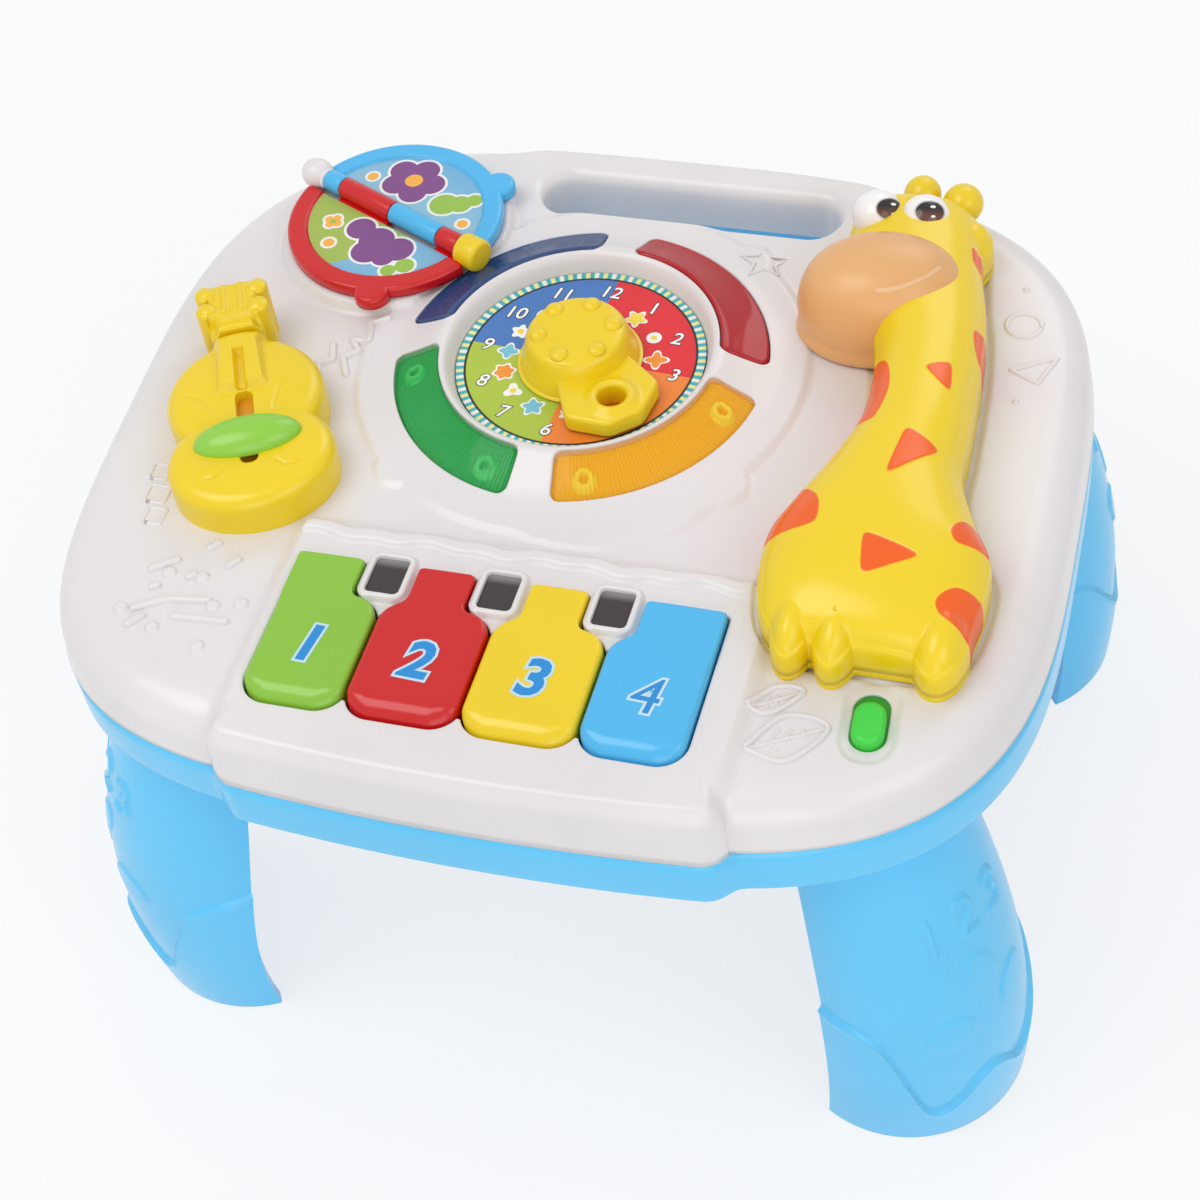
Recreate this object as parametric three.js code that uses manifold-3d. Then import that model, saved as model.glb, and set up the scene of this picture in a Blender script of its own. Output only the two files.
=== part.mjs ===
// A toddler's musical activity table: a white hood and a blue tray on four curved legs, with piano keys,
// a clock dial in a lamp turret, a flip book, a violin slider, a power switch and a giraffe handset.
// Millimetres, +Z up. The origin is on the floor under the middle of the table, -Y is the keyboard side.
import * as THREE from 'three';
import { mergeVertices } from 'three/addons/utils/BufferGeometryUtils.js';
import Module from 'manifold-3d';

const wasm = await Module();
wasm.setup();

// Driving dimensions
const fit = 0.3;
const cutOver = 2;
const table = {
  halfWidth: 130, backReach: 111, frontReach: 113, cornerPower: 3.3, ringPoints: 48,
  legHeight: 119.4, rimHeight: 12.6, hoodHeight: 15, wall: 2.4,
  edgeReach: 11, edgeDrop: 9, edgeSteps: 3, draft: 0.8, rimRound: 1.6,
};
const bay = {
  halfWidth: 64, proud: 4.2, bow: 3.2, rise: 3, edge: 4, ledge: 14, lip: 14.5, arcSteps: 8, corner: 7,
};
const keys = {
  count: 4, pitch: 29.4, gap: 0.8, length: 46, groupX: -3, outerTrim: 3.1, proud: 2.2, depth: 9, wall: 1.8,
  notchLeft: 5.6, notchRight: 8.3, notchLength: 12, shoulder: 3.4, cornerRadius: 6, edge: 1.6,
  frontRound: 5.5, wellGap: 0.8, pivotBack: 6.6, pivotDrop: 4.6, rodRadius: 1.5, hubRadius: 2.9,
  hubWidth: 11, runningGap: 0.3, bracket: 2.4, postRadius: 2.4, postBack: 25, pressDegrees: 4,
};
const windowInsert = {
  width: 9.8, length: 11.6, corner: 1.6, back: -2.2, shift: -2.1, sink: 1.1, flange: 1.1, flangeThick: 1.2,
};
const dial = {
  x: -8.2, y: 23, plateRadius: 33.4, plateThick: 1.3, floorRise: 1, crestRadius: 37, crestRise: 7.8,
  midRise: 4.5, ringRadius: 52.6, ringRise: 1.5, skirtRadius: 60.5, skirtRise: 1.2, skirtLobe: 1.6,
  lobeCount: 4, segments: 36,
};
const lens = {
  count: 4, innerRadius: 37.6, outerRadius: 50.4, halfSpanDegrees: 38, firstDegrees: 45, corner: 2.6,
  flange: 1.3, flangeThick: 1.2, drop: 0.4, ledRadius: 2.5, ledRim: 0.4, ledCurve: 0.8,
};
const knob = {
  baseRadius: 15.5, topRadius: 12.6, lift: 0.6, skirtHeight: 5.6, height: 10.2, studs: 6, studRadius: 2.1,
  studCircle: 9.6, studRise: 1.1, stemRadius: 3, pointerTurn: -51, pointerStart: 8, pointerReach: 31,
  pointerNarrow: 9.6, pointerWide: 13.4, pointerShoulder: 23, pointerThick: 4.4, pointerLift: 1,
  holeRadius: 3.6, holeCentre: 23, collar: 3.2, collarRise: 1.2, discRadius: 11, discThick: 2,
};
const book = {
  sideInset: 54.9, backInset: 45.1, turn: -24.5, pageRadius: 30.8, pageThick: 3, pageLift: 0.5,
  plinthRadius: 31, plinthRise: 3.3, border: 5.6, inset: 0.7, axisRise: 7.9, knuckleRadius: 3, rodRadius: 1.1,
  capRadius: 4.2, capOut: 30.3, footLength: 2.4, tabRadius: 5, tabDegrees: 59, arcSteps: 12,
  knuckleEnds: [-25.8, -19.5, 0, 18.2, 25.8],
};
const violin = {
  inset: 42, y: -16.5, turn: 25, lowerHalf: 22.2, lowerReach: 18.5, upperRadius: 21.2, lowerBack: 17,
  upperAhead: 5.5, waist: 6, height: 11.4, wall: 2.2, edge: 2.6, neckWidth: 13.4, neckStart: 6,
  neckEnd: 30.8, neckRise: 3.2, headLength: 16.4, headRise: 1.6, pegRadius: 3.2, pegOut: 6, pegPitch: 8,
  grooveWidth: 3, grooveEnd: 19.6, grooveDepth: 2.4, slotHalf: 2.3, slotBack: 22.7, slotAhead: 5.3,
  arcSteps: 7,
};
const slider = {
  rest: -13.1, halfLength: 14, halfWidth: 7, height: 4.6, lift: 0.4, plate: 1.6, stemHalf: 3,
};
const toggle = {
  sideInset: 38.1, frontInset: 34.6, turn: 4.6, pocketHalf: 6.6, pocketLength: 12.4, pocketDepth: 1,
  slotHalf: 4.3, slotLength: 8.3, knobHalf: 3.8, knobLength: 6.1, knobRise: 2.2, travel: 3.8, plateThick: 1.2,
  plateMargin: 1.5, plateLength: 8.4, plateDrop: 1.5, bodyHalf: 5, bodyLength: 6, bodyHeight: 5,
  postRadius: 4,
};
const handle = { centreX: 4, halfLength: 43, inset: 12.5, depth: 16.5, corner: 8 };
const handset = {
  inset: 46, tailInset: 47, length: 156, width: 56, height: 23, split: 6.5, archPower: 2.4, archPoints: 10,
  cradleDepth: 1, cradleGap: 0.9,
};
const handsetFoot = { radius: 5.6, reach: 8, height: 9, ahead: -1.2, places: [-14.4, -4.4, 19.4] };
const muzzle = { shift: -16.2, ahead: 116, halfLong: 22.6, halfWide: 16.8, height: 27, turn: 10 };
const eye = { radius: 6.4, ahead: 141.4, leftShift: -22.4, rightShift: -9.6, rise: 17.6 };
const horn = {
  radius: 4.7, ear: 5.6, earTall: 7.4, rise: 11, places: [[-13.7, 158.4], [-2.6, 156]], earPlace: [2.6, 142],
};
const leg = {
  footInsetX: 33.3, footInsetY: 39.2, topInsetX: 44.6, topInsetY: 41.2, bulgeX: 6.1, bulgeY: 4.2,
  footRadius: 31.3, topRadius: 23.1, bulgeRadius: 2.3, wall: 2.6, facing: 34.6, halfSpan: 85,
  arcSteps: 10, rings: 6, collarHeight: 9.6, collarWall: 2, plate: 2.4,
};
const battery = {
  radius: 7.1, length: 49.2, nubRadius: 2.7, nubLength: 1.3, count: 3, spacing: 14.9, inset: 46, y: 4,
  doorThick: 2, doorEdge: 3, boxWall: 4.2, roof: 1.6, contact: 0.8, lift: 0.5, screwRadius: 1.4,
  screwTab: 9.6, screwLength: 8,
};
const speaker = {
  inset: 40, y: 2, radius: 20, frame: 1.6, magnetRadius: 11, height: 11.5, grilleSlots: 5, slotHalf: 1.3,
  slotPitch: 6.2, seat: 1.6, seatRise: 3,
};
const board = {
  half: 49, thick: 1.6, height: 14, postRadius: 3, postInset: 7, keyRise: 10.4, keyHalfDepth: 11,
};
const dome = { baseThick: 1, radius: 4, topRadius: 2.6, height: 3 };
const screw = {
  radius: 1.5, headRadius: 3, headThick: 2, bossRadius: 4, length: 18, sideInset: 14, sideY: 38,
  cornerX: 60, backInset: 18, frontX: 44, frontInset: 3.5,
};
const smallRound = 12;
const midRound = 16;

// Heights worked out from the driving dimensions
const underZ = table.legHeight;
const seamZ = underZ + table.rimHeight;
const deckZ = seamZ + table.hoodHeight;
const bayTopZ = deckZ + bay.rise;
const floorZ = underZ + table.wall;
const bayFrontY = -(table.frontReach + bay.proud);
const keyFrontY = bayFrontY + bay.lip;
const keyBackY = keyFrontY + keys.length;
const bayBackY = keyBackY + bay.ledge;
const pivotY = keyBackY + keys.pivotBack;
const pivotZ = deckZ - keys.pivotDrop;
const keyTopZ = bayTopZ + keys.proud;
const boardTopZ = floorZ + board.height + board.thick;

// Places worked out from the table's edges
const bookPlace = {
  x: book.sideInset - table.halfWidth, y: table.backReach - book.backInset, turn: book.turn,
};
const violinPlace = { x: violin.inset - table.halfWidth, y: violin.y, turn: violin.turn };
const togglePlace = {
  x: table.halfWidth - toggle.sideInset, y: toggle.frontInset - table.frontReach, turn: toggle.turn,
};
const speakerX = speaker.inset - table.halfWidth;
const batteryX = table.halfWidth - battery.inset;
const handleY = table.backReach - handle.inset - handle.depth / 2;
const handsetX = table.halfWidth - handset.inset;
const handsetTail = handset.tailInset - table.frontReach;
const screwSideX = table.halfWidth - screw.sideInset;
const screwBackY = table.backReach - screw.backInset;
const screwFrontY = screw.frontInset - table.frontReach;

const colours = {
  white: 0xded9d9, blue: 0x5ac3f0, yellow: 0xe8cd2d, green: 0x8cc346, red: 0xcd191c, skyBlue: 0x50b9eb,
  lensGreen: 0x00a046, lensAmber: 0xeba014, lensRed: 0xc81428, lensBlue: 0x466496, beige: 0xdca573,
  black: 0x2c2826, printBlue: 0x4682be, toggleGreen: 0x4bcd4b, sliderGreen: 0x91c846, eyeWhite: 0xf2eeee,
  steel: 0xb8bcc0, board: 0x1f6b3a, rubber: 0x9a9a98, battery: 0x3a3f46, brass: 0xc8a850,
};
const finishes = { plastic: [0.35, 0], metal: [0.35, 1], soft: [0.8, 0] };

const object = new THREE.Group();

// Mesh and solid helpers
const radians = (degrees) => THREE.MathUtils.degToRad(degrees);

function signedVolume(position, index) {
  let sum = 0;
  const a = new THREE.Vector3();
  const b = new THREE.Vector3();
  const c = new THREE.Vector3();
  for (let i = 0; i < index.length; i += 3) {
    a.fromArray(position, 3 * index[i]);
    b.fromArray(position, 3 * index[i + 1]);
    c.fromArray(position, 3 * index[i + 2]);
    sum += a.dot(b.cross(c));
  }
  return sum;
}

function solidOf(geometry) {
  const bare = geometry.clone();
  bare.deleteAttribute('normal');
  bare.deleteAttribute('uv');
  const merged = mergeVertices(bare);
  const vertProperties = new Float32Array(merged.attributes.position.array);
  const triVerts = new Uint32Array(merged.index.array);
  if (signedVolume(vertProperties, triVerts) < 0) {
    for (let i = 0; i < triVerts.length; i += 3) {
      [triVerts[i + 1], triVerts[i + 2]] = [triVerts[i + 2], triVerts[i + 1]];
    }
  }
  return new wasm.Manifold(new wasm.Mesh({ numProp: 3, vertProperties, triVerts }));
}

function add(name, solid, colour, { finish = finishes.plastic, at = {} } = {}) {
  const mesh = solid.getMesh();
  const geometry = new THREE.BufferGeometry();
  geometry.setAttribute('position', new THREE.BufferAttribute(new Float32Array(mesh.vertProperties), 3));
  geometry.setIndex(new THREE.BufferAttribute(new Uint32Array(mesh.triVerts), 1));
  geometry.computeVertexNormals();
  const [roughness, metalness] = finish;
  const material = new THREE.MeshStandardMaterial({ color: colour, roughness, metalness });
  const node = new THREE.Mesh(geometry, material);
  node.name = name;
  node.position.set(at.x ?? 0, at.y ?? 0, at.z ?? 0);
  node.rotation.z = radians(at.turn ?? 0);
  object.add(node);
}

const joined = (...solids) => solids.reduce((sum, part) => sum.add(part));

// A plan outline raised from one height to another, its upper edge rounded by bevel
function raised(shape, bottom, top, { bevel = 0, steps = 2, curve = 3, x = 0, y = 0, turn = 0 } = {}) {
  const geometry = new THREE.ExtrudeGeometry(shape, {
    depth: top - bottom, curveSegments: curve, bevelEnabled: bevel > 0,
    bevelThickness: bevel, bevelSize: bevel, bevelOffset: -bevel, bevelSegments: steps,
  });
  geometry.translate(0, 0, bottom - bevel).rotateZ(radians(turn)).translate(x, y, 0);
  if (!bevel) return solidOf(geometry);
  const span = 2 * (table.halfWidth + table.frontReach);
  const keep = new THREE.BoxGeometry(span, span, top - bottom + bevel);
  keep.translate(0, 0, (top + bottom + bevel) / 2);
  return solidOf(geometry).intersect(solidOf(keep));
}

// A profile of [radius, height] pairs turned about the vertical through (x, y)
function turned(profile, segments, x = 0, y = 0) {
  const points = profile.map(([radius, height]) => new THREE.Vector2(radius, height));
  const geometry = new THREE.LatheGeometry(points, segments);
  return solidOf(geometry.rotateX(Math.PI / 2).translate(x, y, 0));
}

const column = (radius, bottom, top, segments, x, y) =>
  turned([[0, bottom], [radius, bottom], [radius, top], [0, top]], segments, x, y);

function block(x0, x1, y0, y1, z0, z1) {
  const geometry = new THREE.BoxGeometry(x1 - x0, y1 - y0, z1 - z0);
  return solidOf(geometry.translate((x0 + x1) / 2, (y0 + y1) / 2, (z0 + z1) / 2));
}

function ball(radiusX, radiusY, radiusZ, x, y, z, segments = smallRound) {
  const geometry = new THREE.SphereGeometry(1, segments, Math.round(segments / 2));
  geometry.rotateX(Math.PI / 2).scale(radiusX, radiusY, radiusZ).translate(x, y, z);
  return solidOf(geometry);
}

// A bar of round section along X, centred at (x, y, z)
function barX(radius, length, x, y, z, segments = smallRound) {
  const geometry = new THREE.CylinderGeometry(radius, radius, length, segments);
  return solidOf(geometry.rotateZ(Math.PI / 2).translate(x, y, z));
}

// Rings of equal point counts joined into one closed skin, its two end rings capped flat.
// flat picks the two coordinates in which the end rings are triangulated.
function lofted(rings, flat = (p) => [p.x, p.y]) {
  const count = rings[0].length;
  const position = rings.flat().flatMap((p) => [p.x, p.y, p.z]);
  const index = [];
  for (let r = 0; r + 1 < rings.length; r += 1) {
    for (let i = 0; i < count; i += 1) {
      const a = r * count + i;
      const b = r * count + ((i + 1) % count);
      index.push(a, b, b + count, a, b + count, a + count);
    }
  }
  const cap = (ring, start, flip) => {
    const outline = ring.map((p) => new THREE.Vector2(...flat(p)));
    const area = THREE.ShapeUtils.area(outline);
    for (const face of THREE.ShapeUtils.triangulateShape(outline, [])) {
      const [a, b, c] = (area > 0) === flip ? [face[0], face[2], face[1]] : face;
      index.push(start + a, start + b, start + c);
    }
  };
  cap(rings[0], 0, true);
  cap(rings.at(-1), (rings.length - 1) * count, false);
  const geometry = new THREE.BufferGeometry();
  geometry.setAttribute('position', new THREE.Float32BufferAttribute(position, 3));
  geometry.setIndex(index);
  return solidOf(geometry);
}

// Plan outlines
function roundedBox(halfX, halfY, radius) {
  const shape = new THREE.Shape();
  const r = Math.min(radius, halfX, halfY);
  shape.moveTo(-halfX + r, -halfY);
  shape.lineTo(halfX - r, -halfY);
  shape.absarc(halfX - r, -halfY + r, r, -Math.PI / 2, 0, false);
  shape.lineTo(halfX, halfY - r);
  shape.absarc(halfX - r, halfY - r, r, 0, Math.PI / 2, false);
  shape.lineTo(-halfX + r, halfY);
  shape.absarc(-halfX + r, halfY - r, r, Math.PI / 2, Math.PI, false);
  shape.lineTo(-halfX, -halfY + r);
  shape.absarc(-halfX + r, -halfY + r, r, Math.PI, 1.5 * Math.PI, false);
  return shape;
}

function sector(inner, outer, halfSpan, corner) {
  const shape = new THREE.Shape();
  const point = (radius, angle) => [radius * Math.cos(angle), radius * Math.sin(angle)];
  const outerTurn = corner / outer;
  const innerTurn = corner / inner;
  shape.moveTo(...point(outer, -halfSpan + outerTurn));
  shape.absarc(0, 0, outer, -halfSpan + outerTurn, halfSpan - outerTurn, false);
  shape.quadraticCurveTo(...point(outer, halfSpan), ...point(outer - corner, halfSpan));
  shape.lineTo(...point(inner + corner, halfSpan));
  shape.quadraticCurveTo(...point(inner, halfSpan), ...point(inner, halfSpan - innerTurn));
  shape.absarc(0, 0, inner, halfSpan - innerTurn, -halfSpan + innerTurn, true);
  shape.quadraticCurveTo(...point(inner, -halfSpan), ...point(inner + corner, -halfSpan));
  shape.lineTo(...point(outer - corner, -halfSpan));
  shape.quadraticCurveTo(...point(outer, -halfSpan), ...point(outer, -halfSpan + outerTurn));
  return shape;
}

// The table's plan: a superellipse with its own reach to the back and to the front
function tableRing(inset, z) {
  const ring = [];
  for (let i = 0; i < table.ringPoints; i += 1) {
    const turn = (2 * Math.PI * (i + 0.5)) / table.ringPoints;
    const power = 2 / table.cornerPower;
    const c = Math.cos(turn);
    const s = Math.sin(turn);
    const reach = s > 0 ? table.backReach : table.frontReach;
    ring.push(new THREE.Vector3(
      (table.halfWidth - inset) * Math.sign(c) * Math.abs(c) ** power,
      (reach - inset) * Math.sign(s) * Math.abs(s) ** power, z));
  }
  return ring;
}

// The keyboard bay's plan: straight sides and a bowed front
function bayShape(inset, back) {
  const shape = new THREE.Shape();
  const half = bay.halfWidth - inset;
  const front = bayFrontY + inset;
  const corner = bay.corner - inset;
  shape.moveTo(-half + corner, back);
  shape.absarc(-half + corner, back - corner, corner, Math.PI / 2, Math.PI, false);
  shape.lineTo(-half, front);
  for (let i = 1; i <= bay.arcSteps; i += 1) {
    const share = i / bay.arcSteps;
    shape.lineTo(-half + 2 * half * share, front - bay.bow * 4 * share * (1 - share));
  }
  shape.absarc(half - corner, back - corner, corner, 0, Math.PI / 2, false);
  return shape;
}

function handleShape(grow) {
  return roundedBox(handle.halfLength + grow, handle.depth / 2 + grow, handle.corner + grow);
}

function handleSolid(grow, low, high) {
  return raised(handleShape(grow), low, high, { curve: 4, x: handle.centreX, y: handleY });
}

const screwPlaces = [
  [-screwSideX, screw.sideY, deckZ], [screwSideX, screw.sideY, deckZ],
  [-screw.cornerX, screwBackY, deckZ], [screw.cornerX, screwBackY, deckZ],
  [-screw.frontX, screwFrontY, bayTopZ], [screw.frontX, screwFrontY, bayTopZ],
];

// Keys and what holds them
const slotX = (k) => keys.groupX + (k - keys.count / 2) * keys.pitch;
const keyLeft = (k) => slotX(k) + (k > 0 ? keys.gap / 2 : keys.outerTrim);
const keyRight = (k) => slotX(k + 1) - (k + 1 < keys.count ? keys.gap / 2 : keys.outerTrim);
const neckLeft = (k) => keyLeft(k) + (k > 0 ? keys.notchLeft : 0);
const neckRight = (k) => keyRight(k) - (k + 1 < keys.count ? keys.notchRight : 0);
const neckMiddle = (k) => (neckLeft(k) + neckRight(k)) / 2;
const windowX = (k) => slotX(k + 1) + windowInsert.shift;

function keyShape(k, grow) {
  const left = keyLeft(k) - grow;
  const right = keyRight(k) + grow;
  const front = keyFrontY - grow;
  const back = keyBackY + grow;
  const shoulderY = keyBackY - keys.notchLength + grow;
  const radius = keys.cornerRadius + grow;
  const shape = new THREE.Shape();
  shape.moveTo(neckLeft(k) - grow, back);
  if (neckLeft(k) > keyLeft(k)) {
    shape.lineTo(neckLeft(k) - grow, shoulderY);
    shape.quadraticCurveTo(left, shoulderY - keys.shoulder / 2, left, shoulderY - keys.shoulder);
  }
  shape.lineTo(left, front + radius);
  shape.absarc(left + radius, front + radius, radius, Math.PI, 1.5 * Math.PI, false);
  shape.lineTo(right - radius, front);
  shape.absarc(right - radius, front + radius, radius, -Math.PI / 2, 0, false);
  if (neckRight(k) < keyRight(k)) {
    shape.lineTo(right, shoulderY - keys.shoulder);
    shape.quadraticCurveTo(right, shoulderY - keys.shoulder / 2, neckRight(k) + grow, shoulderY);
  }
  shape.lineTo(neckRight(k) + grow, back);
  return shape;
}

// The side view that rounds the fronts of the keys, as a bar along X
function keySideBar() {
  const shape = new THREE.Shape();
  const bottom = keyTopZ - keys.depth;
  const front = keyFrontY - cutOver;
  const round = keys.frontRound;
  shape.moveTo(keyBackY + cutOver, bottom);
  shape.lineTo(keyBackY + cutOver, keyTopZ + cutOver);
  shape.lineTo(keyFrontY + round, keyTopZ + cutOver);
  shape.lineTo(keyFrontY + round, keyTopZ);
  shape.absarc(keyFrontY + round, keyTopZ - round, round, Math.PI / 2, Math.PI, false);
  shape.lineTo(keyFrontY, keyTopZ - round);
  shape.lineTo(front, keyTopZ - round);
  shape.lineTo(front, bottom);
  const geometry = new THREE.ExtrudeGeometry(shape, {
    depth: 2 * bay.halfWidth, curveSegments: 4, bevelEnabled: false,
  });
  // The shape is drawn in Y and Z and extruded along X
  const alongX = new THREE.Matrix4().set(0, 0, 1, -bay.halfWidth, 1, 0, 0, 0, 0, 1, 0, 0, 0, 0, 0, 1);
  return solidOf(geometry.applyMatrix4(alongX));
}

function makeKeys() {
  const bottom = keyTopZ - keys.depth;
  const sideBar = keySideBar();
  const press = Math.tan(radians(keys.pressDegrees));
  const postY = pivotY - keys.postBack;
  const postEnd = floorZ + board.keyRise + board.thick + fit + dome.baseThick + dome.height + fit
    + keys.postBack * press;
  const keyColours = [colours.green, colours.red, colours.yellow, colours.skyBlue];
  for (let k = 0; k < keys.count; k += 1) {
    const outer = raised(keyShape(k, 0), bottom, keyTopZ, { bevel: keys.edge }).intersect(sideBar);
    const inner = raised(keyShape(k, -keys.wall), bottom - cutOver, keyTopZ - keys.frontRound);
    const armHalf = keys.hubWidth / 2;
    const x = neckMiddle(k);
    const arm = block(x - armHalf, x + armHalf, keyBackY - keys.wall, pivotY,
      pivotZ - keys.hubRadius / 2, pivotZ + keys.hubRadius / 2);
    const hub = barX(keys.hubRadius, keys.hubWidth, x, pivotY, pivotZ);
    const bore = barX(keys.rodRadius + keys.runningGap, keys.hubWidth + cutOver, x, pivotY, pivotZ);
    const post = column(keys.postRadius, postEnd, keyTopZ - keys.frontRound + fit, smallRound,
      (keyLeft(k) + keyRight(k)) / 2, postY);
    const body = joined(outer.subtract(inner), arm, hub, post).subtract(bore);
    add(`key_${k + 1}`, body, keyColours[k % keyColours.length]);
  }
  const rodHalf = (keys.count * keys.pitch + keys.bracket) / 2;
  add('key_pivot_rod', barX(keys.rodRadius, 2 * rodHalf, keys.groupX, pivotY, pivotZ), colours.steel,
    { finish: finishes.metal });
}

function keyBrackets() {
  const parts = [];
  for (let k = 0; k <= keys.count; k += 1) {
    const low = pivotZ - keys.hubRadius;
    parts.push(block(slotX(k) - keys.bracket / 2, slotX(k) + keys.bracket / 2, pivotY - keys.hubRadius,
      pivotY + keys.hubRadius, low, bayTopZ - table.wall / 2));
  }
  return joined(...parts);
}

// Dark windows between the keys, pushed up from below into the white frames
function windowPlan(grow) {
  const half = windowInsert.width / 2 + grow;
  return roundedBox(half, windowInsert.length / 2 + grow, windowInsert.corner + grow);
}
const windowY = keyBackY - windowInsert.back - windowInsert.length / 2;

function makeWindowInserts() {
  for (let k = 0; k + 1 < keys.count; k += 1) {
    const flangeTop = bayTopZ - table.wall - fit;
    const at = { x: windowX(k), y: windowY };
    const face = raised(windowPlan(-fit), flangeTop - fit, bayTopZ - windowInsert.sink, at);
    const flangeLow = flangeTop - windowInsert.flangeThick;
    const flange = raised(windowPlan(windowInsert.flange), flangeLow, flangeTop, at);
    add(`window_insert_${k + 1}`, joined(face, flange), colours.black);
  }
}

// The lamp turret round the dial
const turretProfile = [
  [dial.ringRadius, dial.ringRise], [(dial.ringRadius + dial.crestRadius) / 2 + fit, dial.midRise],
  [dial.crestRadius + table.wall, dial.crestRise], [dial.crestRadius - fit, dial.crestRise],
];

function turretSkin() {
  const rings = [];
  const levels = [[dial.skirtRadius + fit, -table.wall, 1], [dial.skirtRadius, 0, 1],
    [dial.skirtRadius - table.wall, dial.skirtRise, 1]];
  turretProfile.forEach(([radius, rise]) => levels.push([radius, rise, 0]));
  levels.push([dial.plateRadius + fit, dial.floorRise, 0]);
  for (const [radius, rise, lobed] of levels) {
    const ring = [];
    for (let i = 0; i < dial.segments; i += 1) {
      const turn = (2 * Math.PI * i) / dial.segments;
      const reach = radius - lobed * dial.skirtLobe * Math.cos(dial.lobeCount * turn);
      ring.push(new THREE.Vector3(dial.x + reach * Math.cos(turn), dial.y + reach * Math.sin(turn),
        deckZ + rise));
    }
    rings.push(ring);
  }
  return lofted(rings);
}

function turretHollow() {
  const wall = table.wall;
  const low = deckZ - wall - cutOver;
  const profile = [[dial.crestRadius - fit, low], [dial.skirtRadius - 2 * wall, low],
    [dial.skirtRadius - 2 * wall, deckZ + dial.skirtRise - wall]];
  turretProfile.forEach(([radius, rise]) => profile.push([radius, deckZ + rise - wall]));
  profile.push([dial.crestRadius - fit, low]);
  return turned(profile, dial.segments, dial.x, dial.y);
}

const lensAngle = (k) => lens.firstDegrees + (360 / lens.count) * k;

function lensPrism(grow, extraTurn, k) {
  const shape = sector(lens.innerRadius - grow, lens.outerRadius + grow,
    radians(lens.halfSpanDegrees) + extraTurn, lens.corner);
  return raised(shape, deckZ - 2 * table.wall - cutOver, deckZ + dial.crestRise + cutOver,
    { curve: 4, x: dial.x, y: dial.y, turn: lensAngle(k) });
}

// A ring under or over the turret's slope, between two offsets from its skin
function slopeRing(low, high) {
  const rises = [[lens.outerRadius + lens.flange + fit, dial.ringRise + fit]];
  rises.push(turretProfile[1], turretProfile[2]);
  rises.push([dial.crestRadius, dial.crestRise]);
  const up = rises.map(([radius, rise]) => [radius, deckZ + rise + high]);
  const down = rises.map(([radius, rise]) => [radius, deckZ + rise + low]).reverse();
  return turned([...up, ...down, up[0]], dial.segments, dial.x, dial.y);
}

function makeLenses() {
  const names = ['red', 'blue', 'green', 'amber'];
  const tints = [colours.lensRed, colours.lensBlue, colours.lensGreen, colours.lensAmber];
  const face = slopeRing(-table.wall - 2 * lens.drop, fit);
  const under = slopeRing(-table.wall - lens.drop - lens.flangeThick, -table.wall - lens.drop);
  for (let k = 0; k < lens.count; k += 1) {
    const window = face.intersect(lensPrism(-fit, -fit / lens.outerRadius, k));
    const flange = under.intersect(lensPrism(lens.flange, lens.flange / lens.outerRadius, k));
    add(`lens_${names[k]}`, joined(window, flange), tints[k]);
    const turn = radians(lensAngle(k));
    const radius = (lens.innerRadius + lens.outerRadius) / 2;
    const x = dial.x + radius * Math.cos(turn);
    const y = dial.y + radius * Math.sin(turn);
    const foot = boardTopZ + fit;
    const tall = deckZ - table.wall - lens.flangeThick;
    const lamp = turned([[0, foot], [lens.ledRadius + lens.ledRim, foot],
      [lens.ledRadius + lens.ledRim, foot + lens.flangeThick], [lens.ledRadius, foot + lens.flangeThick],
      [lens.ledRadius, tall - lens.ledRadius], [lens.ledRadius - lens.ledCurve, tall - lens.ledCurve],
      [0, tall]], smallRound, x, y);
    add(`lamp_${names[k]}`, lamp, tints[k]);
  }
}

// The clock dial and its knob
const dialTopZ = deckZ + dial.floorRise + fit + dial.plateThick;

function makeDial() {
  const low = deckZ + dial.floorRise + fit;
  const plate = column(dial.plateRadius, low, dialTopZ, dial.segments, dial.x, dial.y);
  const hole = column(knob.stemRadius + fit, low - cutOver, dialTopZ + cutOver, midRound, dial.x, dial.y);
  add('dial_plate', plate.subtract(hole), colours.printBlue);
}

function pointerShape() {
  const shape = new THREE.Shape();
  shape.moveTo(knob.pointerStart, -knob.pointerNarrow);
  shape.lineTo(knob.pointerShoulder, -knob.pointerWide);
  shape.lineTo(knob.pointerReach, -knob.pointerNarrow / 2);
  shape.lineTo(knob.pointerReach, knob.pointerNarrow / 2);
  shape.lineTo(knob.pointerShoulder, knob.pointerWide);
  shape.lineTo(knob.pointerStart, knob.pointerNarrow);
  return shape;
}

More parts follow.
